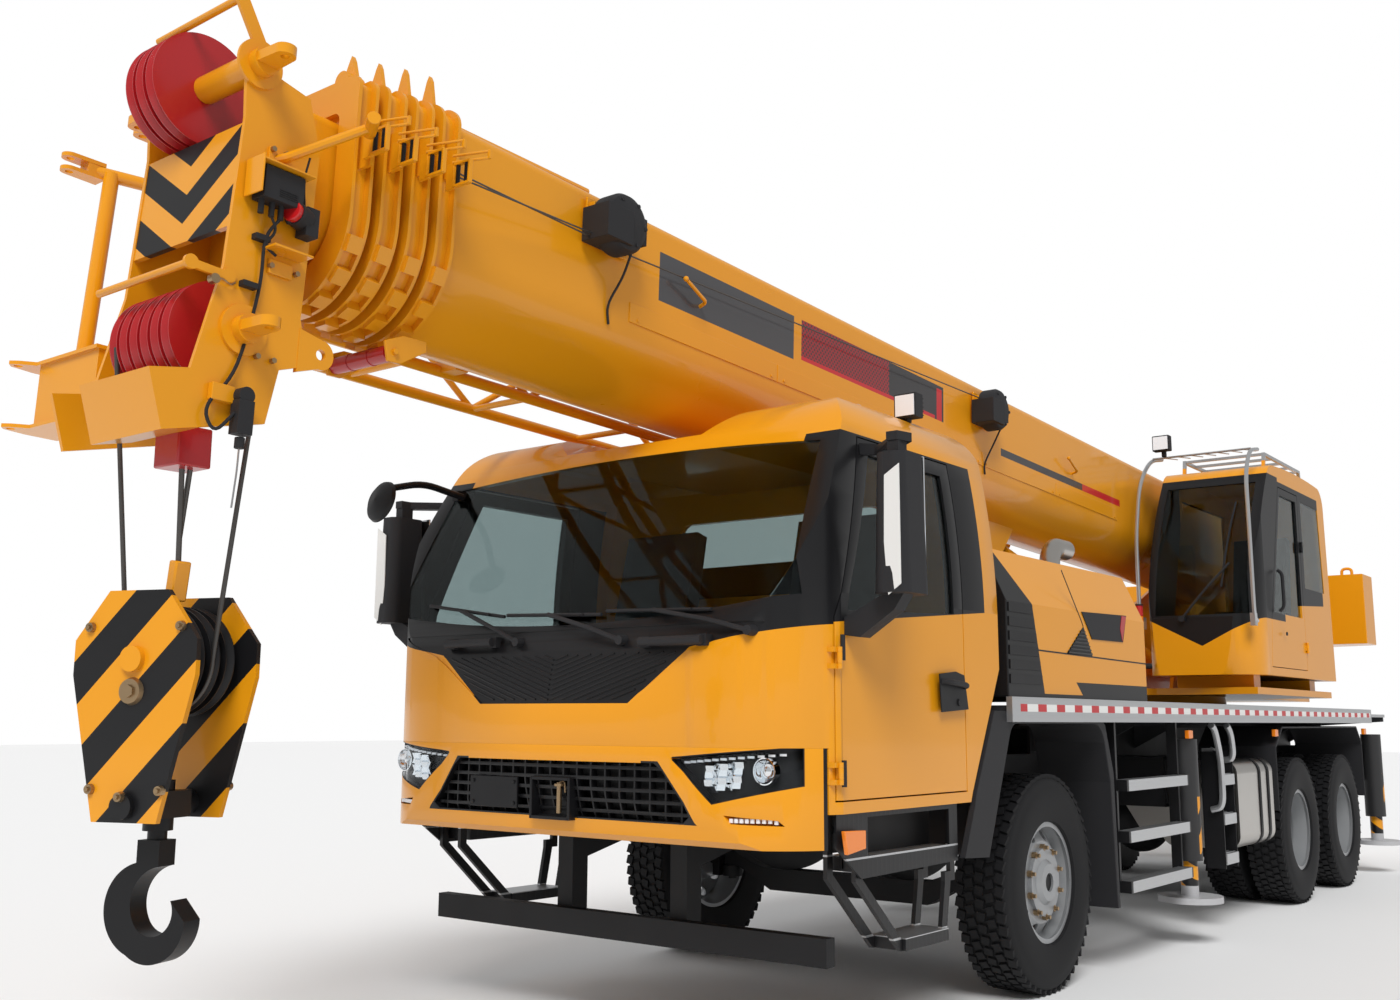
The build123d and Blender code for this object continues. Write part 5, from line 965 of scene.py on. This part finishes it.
addTube(bm, [at(-4.10, 1.252, 2.14), at(-4.10, 1.285, 2.17), at(-4.10, 1.285, 2.42), at(-4.10, 1.252, 2.45)], 0.013, 0.03)
addRod(bm, at(-4.25, 1.25, 1.98), at(-4.25, 1.258, 1.98), 0.014)
piece(bm, "crane_cab_door_handle", "plastic", nodes["crane_cab_door"]["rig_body"], merge=False)
print("crane cab dressed")

# Boom: cover strip, cable reels, wires, tube over the boom, guides

bm = bmesh.new()
joint = 1.13
for k in range(5):
    start = 3.27 + joint * k
    middle = onBoom(start + joint / 2 - 0.002, 0.195, 0.309)
    addBox(bm, spot(middle, boomAlong, boomUp), (joint - 0.006, 0.012, 0.09))
    for u in (start + 0.05, start + joint - 0.06):
        where = onBoom(u, 0.168, 0.314)
        addRod(bm, where, where + toLeft * 0.006, 0.008, sides=8)
piece(bm, "boom_cover_strip", "yellow", boomBase, 0.002, merge=False)
reels = ((9.10, 0.51), (5.54, 0.493))
for k, (u, w) in enumerate(reels):
    bm = bmesh.new()
    centre = onBoom(u, w, 0.40)
    addLathe(bm, [(-0.055, 0.001), (-0.055, 0.12), (-0.045, 0.13), (0.03, 0.13), (0.05, 0.118), (0.064, 0.09), (0.066, 0.001)],
             centre, (0, 1, 0), 40)
    addBox(bm, spot(onBoom(u + 0.07, w - 0.03, 0.40), boomAlong, boomUp), (0.16, 0.15, 0.15))
    addBox(bm, spot(onBoom(u - 0.11, w + 0.0, 0.39), boomAlong, boomUp), (0.05, 0.10, 0.12))
    for a in (-60, 0, 60, 120, 180, 240):
        out = boomAlong * cos(radians(a)) + boomUp * sin(radians(a))
        addRod(bm, centre + out * 0.10 + toLeft * 0.03, centre + out * 0.10 + toLeft * 0.066, 0.010, sides=8)
    addTube(bm, [onBoom(u - 0.06, w - 0.11, 0.42), onBoom(u - 0.08, w - 0.20, 0.36), onBoom(u - 0.03, w - 0.33, 0.318),
                 onBoom(u - 0.05, 0.10, 0.314)], 0.006, 0.06, 2)
    piece(bm, f"cable_reel_{k + 1}", "plastic", boomBase, 0.003, merge=False)
    bm = bmesh.new()
    addBox(bm, spot(onBoom(u, w, 0.325), boomAlong, boomUp), (0.26, 0.012, 0.20))
    for off in (-0.11, 0.11):
        addBox(bm, spot(onBoom(u + off, w, 0.335), boomAlong, boomUp), (0.012, 0.045, 0.16))
    addBox(bm, spot(onBoom(u, w - 0.08, 0.335), boomAlong, boomUp), (0.20, 0.045, 0.012))
    piece(bm, f"cable_reel_bracket_{k + 1}", "yellow", boomBase, 0.002, merge=False)
bm = bmesh.new()
addTube(bm, [onBoom(5.60, 0.55, 0.37), onBoom(8.95, 0.43, 0.345), onBoom(10.02, 0.39, 0.43)], 0.0035, 0.01, 1)
addTube(bm, [onBoom(9.12, 0.44, 0.37), onBoom(10.02, 0.375, 0.43)], 0.0035, 0.01, 1)
piece(bm, "reel_wires", "rope", boomBase, merge=False)
bm = bmesh.new()
addTube(bm, [at(3.43, 0.18, 3.62), at(2.41, 0.18, 3.60)], 0.02)
addBox(bm, Matrix.Translation(at(2.46, 0.18, 3.55)), (0.05, 0.03, 0.10))
for u in (4.10, 8.42):
    addTube(bm, [onBoom(u, 0.36, 0.305), onBoom(u + 0.01, 0.37, 0.355), onBoom(u + 0.16, 0.43, 0.36)], 0.009, 0.02)
    addBall(bm, onBoom(u + 0.17, 0.435, 0.36), 0.013)
piece(bm, "boom_tube_and_hooks", "yellow", boomBase, merge=False)
guides = {"boom_1": (10.05, 0.400), "boom_2": (10.165, 0.388), "boom_3": (10.285, 0.376), "boom_4": (10.40, 0.364)}
for name, (u, y) in guides.items():
    bm = bmesh.new()
    black = bmesh.new()
    w = 0.37
    addBox(bm, spot(onBoom(u, w, y + 0.018), boomAlong, boomUp), (0.012, 0.05, 0.10))
    for off in (-0.042, 0.042):
        addBox(bm, spot(onBoom(u, w + off, y + 0.075), boomAlong, boomUp), (0.018, 0.085, 0.010))
        addBox(bm, spot(onBoom(u, w, y + 0.075 + off), boomAlong, boomUp), (0.018, 0.010, 0.092))
    for off in (0.0, 0.026):
        addTube(bm, [onBoom(u + 0.01, w + 0.05 + off, y + 0.03), onBoom(u - 0.06, w + 0.065 + off, y + 0.15)], 0.0055, 0.01, 1)
    addBox(bm, spot(onBoom(u - 0.06, w + 0.078, y + 0.15), boomAlong, boomUp), (0.012, 0.012, 0.034))
    for off in (-0.022, 0.022):
        addRod(black, onBoom(u, w - 0.036, y + 0.075 + off), onBoom(u, w + 0.036, y + 0.075 + off), 0.008, sides=10)
    body = nodes[name]["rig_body"]
    piece(bm, name + "_wire_guide", "yellow", body, 0.0015, merge=False)
    piece(black, name + "_guide_rollers", "black", body, merge=False)
bm = bmesh.new()
under = meet(("boom_1",), at(3.36, 0.01, 1.9), (0, 0, 1)) or at(3.36, 0, 2.5)
rollerZ = under.z - 0.05
addRod(bm, at(3.44, -0.15, rollerZ), at(3.44, 0.17, rollerZ), 0.032)
for y in (-0.05, 0.07):
    addRod(bm, at(3.44, y - 0.004, rollerZ), at(3.44, y + 0.004, rollerZ), 0.034)
piece(bm, "boom_foot_roller", "red", boomBase, merge=False)
bm = bmesh.new()
for y in (-0.165, 0.185):
    bracket = [(-0.15, 0.03), (-0.15, 0.07), (-0.04, 0.07), (0.045, 0.035), (0.03, -0.04), (-0.03, -0.04)]
    addPlate(bm, spot(at(3.44, y, rollerZ), (1, 0, 0)), bracket, 0.012)
addRod(bm, at(3.44, -0.18, rollerZ), at(3.44, 0.21, rollerZ), 0.012)
piece(bm, "roller_bracket", "yellow", boomBase, 0.002, merge=False)
print("boom dressed")

# Boom head: box with plugs, lamp, switch, handle tube, cable

plateY = 0.302
bm = bmesh.new()
addBox(bm, spot(onBoom(10.716, 0.098, plateY + 0.042), boomAlong, boomUp), (0.15, 0.07, 0.11))
for k in range(4):
    addBox(bm, spot(onBoom(10.70, 0.062 + 0.007 * k, plateY + 0.078), boomAlong, boomUp), (0.07, 0.004, 0.003))
for u in (10.665, 10.70, 10.735, 10.775):
    addRod(bm, onBoom(u, 0.045, plateY + 0.04), onBoom(u, -0.005, plateY + 0.04), 0.010, sides=12)
addRod(bm, onBoom(10.60, 0.03, plateY + 0.03), onBoom(10.655, 0.035, plateY + 0.05), 0.042)
addBox(bm, spot(onBoom(10.59, 0.02, plateY + 0.035), boomAlong, boomUp), (0.05, 0.06, 0.10))
addBox(bm, spot(onBoom(10.773, -0.691, plateY + 0.04), boomAlong, boomUp), (0.055, 0.05, 0.11))
addRod(bm, onBoom(10.773, -0.62, plateY + 0.02), onBoom(10.773, -0.62, plateY + 0.062), 0.028)
addRod(bm, onBoom(10.773, -0.755, plateY + 0.04), onBoom(10.773, -0.79, plateY + 0.04), 0.016)
addTube(bm, [onBoom(10.70, 0.0, plateY + 0.04), onBoom(10.74, -0.07, plateY + 0.02), onBoom(10.73, -0.22, plateY + 0.012),
             onBoom(10.76, -0.40, plateY + 0.012), onBoom(10.80, -0.56, plateY + 0.012), onBoom(10.90, -0.68, plateY + 0.02),
             onBoom(10.86, -0.76, plateY + 0.03), onBoom(10.80, -0.68, plateY + 0.04)], 0.006, 0.08, 2)
addTube(bm, [onBoom(10.735, 0.0, plateY + 0.04), onBoom(10.70, -0.04, plateY + 0.03), onBoom(10.74, -0.10, plateY + 0.02),
             onBoom(10.69, -0.12, plateY + 0.02)], 0.005, 0.04, 2)
addTube(bm, [onBoom(10.60, 0.05, plateY + 0.03), onBoom(10.63, 0.16, plateY + 0.05), onBoom(10.62, 0.24, plateY + 0.06)], 0.004, 0.05, 2)
for u, w in ((10.745, -0.075), (10.775, -0.245)):
    addBox(bm, spot(onBoom(u, w, plateY + 0.012), boomAlong, boomUp), (0.055, 0.03, 0.02))
piece(bm, "head_control_box", "plastic", boomHead, 0.003, merge=False)
bm = bmesh.new()
addRod(bm, onBoom(10.652, 0.0345, plateY + 0.049), onBoom(10.672, 0.0365, plateY + 0.056), 0.036)
piece(bm, "head_red_lamp", "redLens", boomHead, 0.004)
bm = bmesh.new()
addBox(bm, spot(onBoom(10.716, 0.16, plateY + 0.052), boomAlong, boomUp), (0.20, 0.10, 0.006))
addBox(bm, spot(onBoom(10.815, 0.11, plateY + 0.052), boomAlong, boomUp), (0.006, 0.10, 0.13))
addBox(bm, spot(onBoom(10.66, -0.105, plateY + 0.04), boomAlong, boomUp), (0.15, 0.08, 0.008))
addBox(bm, spot(onBoom(10.66, -0.155, plateY + 0.005), boomAlong, boomUp), (0.09, 0.012, 0.05))
addBox(bm, spot(onBoom(10.835, -0.62, plateY + 0.012), boomAlong, boomUp), (0.08, 0.026, 0.055))
arm = [onBoom(10.705, 0.218, plateY), onBoom(10.69, 0.222, plateY + 0.03), at(3.802, 0.47, 3.318)]
addTube(bm, arm, 0.017, 0.01)
addBox(bm, spot(arm[0], boomAlong, boomUp), (0.07, 0.014, 0.07))
away = (arm[2] - arm[1]).normalized()
cross = away.cross(boomUp).normalized()
addRod(bm, arm[2] - cross * 0.05, arm[2] + cross * 0.08, 0.023)
piece(bm, "head_brackets_and_handle", "yellow", boomHead, 0.002, merge=False)
bm = bmesh.new()
for u, w in ((10.73, 0.243), (10.68, 0.243), (10.73, 0.193), (10.68, 0.193), (10.60, -0.155), (10.70, -0.155), (10.835, -0.60),
             (10.66, -0.47), (10.72, -0.47)):
    where = onBoom(u, w, plateY + 0.004)
    addRod(bm, where, where + toLeft * 0.016, 0.010, sides=6)
addTube(bm, [onBoom(10.82, -0.25, plateY + 0.006), onBoom(10.84, -0.265, plateY + 0.012), onBoom(10.87, -0.25, plateY + 0.012),
             onBoom(10.89, -0.262, plateY + 0.012)], 0.003, 0.02, 1)
addRod(bm, onBoom(10.90, -0.262, plateY), onBoom(10.90, -0.262, plateY + 0.025), 0.016)
piece(bm, "head_bolts", "studs", boomHead, merge=False)
bm = bmesh.new()
addTube(bm, [onBoom(10.773, -0.79, plateY + 0.04), onBoom(10.772, -0.86, plateY + 0.038), onBoom(10.778, -0.98, plateY + 0.036)],
        0.003, 0.02, 1)
piece(bm, "weight_wire", "steel", boomHead)
print("head dressed")

# Rope anchor, wedge socket and the third fall

bm = bmesh.new()
addBox(bm, Matrix.Translation(at(4.20, 0.10, 2.175)), (0.12, 0.14, 0.13))
piece(bm, "rope_anchor", "red", boomHead, 0.006)
bm = bmesh.new()
addRod(bm, at(4.20, 0.10, 2.12), at(4.16, 0.05, 1.80), 0.009, sides=12)
addRod(bm, at(4.17, 0.10, 2.12), at(4.15, 0.03, 1.90), 0.009, sides=12)
piece(bm, "third_fall", "rope", nodes["hoist_rope"]["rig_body"], merge=False)
bm = bmesh.new()
addBox(bm, spot(at(4.155, 0.045, 1.755), (1, 0, 0), (0.12, 0.15, 1)), (0.055, 0.045, 0.13))
piece(bm, "wedge_socket", "yellow", nodes["hook_block"]["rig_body"], 0.006)
blockTop, blockLow = 1.66, 1.06
bm = bmesh.new()
for side in (1, -1):
    for across, z in ((0.0, 1.40), (0.17, 1.60), (-0.17, 1.60), (0.13, 1.10), (-0.13, 1.10), (0.0, 1.08)):
        where = Vector((hookX, 0, z)) + faceAcross * across
        seen = meet(("hook_block",), where + faceAhead * side * 0.6, faceAhead * -side)
        if seen:
            size = 0.045 if (across, z) == (0.0, 1.40) else 0.017
            addRod(bm, seen - faceAhead * side * 0.004, seen + faceAhead * side * 0.014, size, size * 0.85)
            addRod(bm, seen, seen + faceAhead * side * 0.022, size * 0.45, sides=6)
piece(bm, "block_pins", "studs", nodes["hook_block"]["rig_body"], merge=False)

# Lifting eyes on the counterweight

bm = bmesh.new()
low, high = [Vector(c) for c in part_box("counterweight")]
for y in (0.97, -0.97):
    addTube(bm, [at(-7.6, y - 0.045, high.z - 0.005), at(-7.6, y - 0.045, high.z + 0.075), at(-7.6, y + 0.045, high.z + 0.075),
                 at(-7.6, y + 0.045, high.z - 0.005)], 0.014, 0.045)
piece(bm, "counterweight_eyes", "yellow", nodes["counterweight"]["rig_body"])
print("rigging and counterweight dressed")

# Floor, lamps, camera

studio = {"floor": 60.0, "worldFill": 0.42, "key": 2.5, "fill": 0.7, "shine": 0.1}
bpy.ops.mesh.primitive_plane_add(size=studio["floor"] * 2, location=(0, 0, -0.002))
floor = bpy.context.object
floor.name = "floor"
floorPaint = Paint("pale floor", (0.86, 0.86, 0.86), 0.7)
floor.data.materials.append(floorPaint.material)

world = bpy.data.worlds.new("studio")
bpy.context.scene.world = world
world.use_nodes = True
tree = world.node_tree
background = tree.nodes["Background"]
lightPath = tree.nodes.new("ShaderNodeLightPath")
seen = tree.nodes.new("ShaderNodeMath")
seen.operation = "MAXIMUM"
seenAll = tree.nodes.new("ShaderNodeMath")
seenAll.operation = "MAXIMUM"
level = tree.nodes.new("ShaderNodeMapRange")
level.inputs["To Min"].default_value = studio["worldFill"]
level.inputs["To Max"].default_value = 1.0
tree.links.new(lightPath.outputs["Is Camera Ray"], seen.inputs[0])
shine = tree.nodes.new("ShaderNodeMath")
shine.operation = "MULTIPLY"
shine.inputs[1].default_value = studio["shine"]
tree.links.new(lightPath.outputs["Is Glossy Ray"], shine.inputs[0])
tree.links.new(shine.outputs[0], seen.inputs[1])
tree.links.new(seen.outputs[0], seenAll.inputs[0])
tree.links.new(lightPath.outputs["Is Transmission Ray"], seenAll.inputs[1])
tree.links.new(seenAll.outputs[0], level.inputs["Value"])
tree.links.new(level.outputs["Result"], background.inputs["Strength"])
background.inputs["Color"].default_value = (1, 1, 1, 1)


def addSun(name, towards, energy, spread):
    lamp = bpy.data.lights.new(name, "SUN")
    lamp.energy = energy
    lamp.angle = radians(spread)
    holder = bpy.data.objects.new(name, lamp)
    holder.rotation_euler = Vector(towards).to_track_quat("-Z", "Y").to_euler()
    # no mirrored lamp discs in the glass: the pale world gives the gloss
    holder.visible_glossy = False
    holder.visible_transmission = False
    bpy.context.scene.collection.objects.link(holder)


addSun("key lamp", (-0.62, -0.45, -0.8), studio["key"], 25)
addSun("fill lamp", (-0.3, 0.75, -0.5), studio["fill"], 40)

view = {"x": 6.564, "y": 4.055, "z": 1.323, "yaw": 217.90, "pitch": 9.18, "roll": 0.28, "lens": 34.87}
cameraData = bpy.data.cameras.new("camera")
cameraData.lens = view["lens"]
cameraData.sensor_width = 36
camera = bpy.data.objects.new("camera", cameraData)
turned = (Matrix.Rotation(radians(view["yaw"] - 90), 4, "Z") @ Matrix.Rotation(radians(90 + view["pitch"]), 4, "X")
          @ Matrix.Rotation(radians(view["roll"]), 4, "Z"))
camera.matrix_world = Matrix.Translation(at(view["x"], view["y"], view["z"])) @ turned
bpy.context.scene.collection.objects.link(camera)
bpy.context.scene.camera = camera
bpy.context.scene.view_settings.view_transform = "Standard"

print("scene finished")
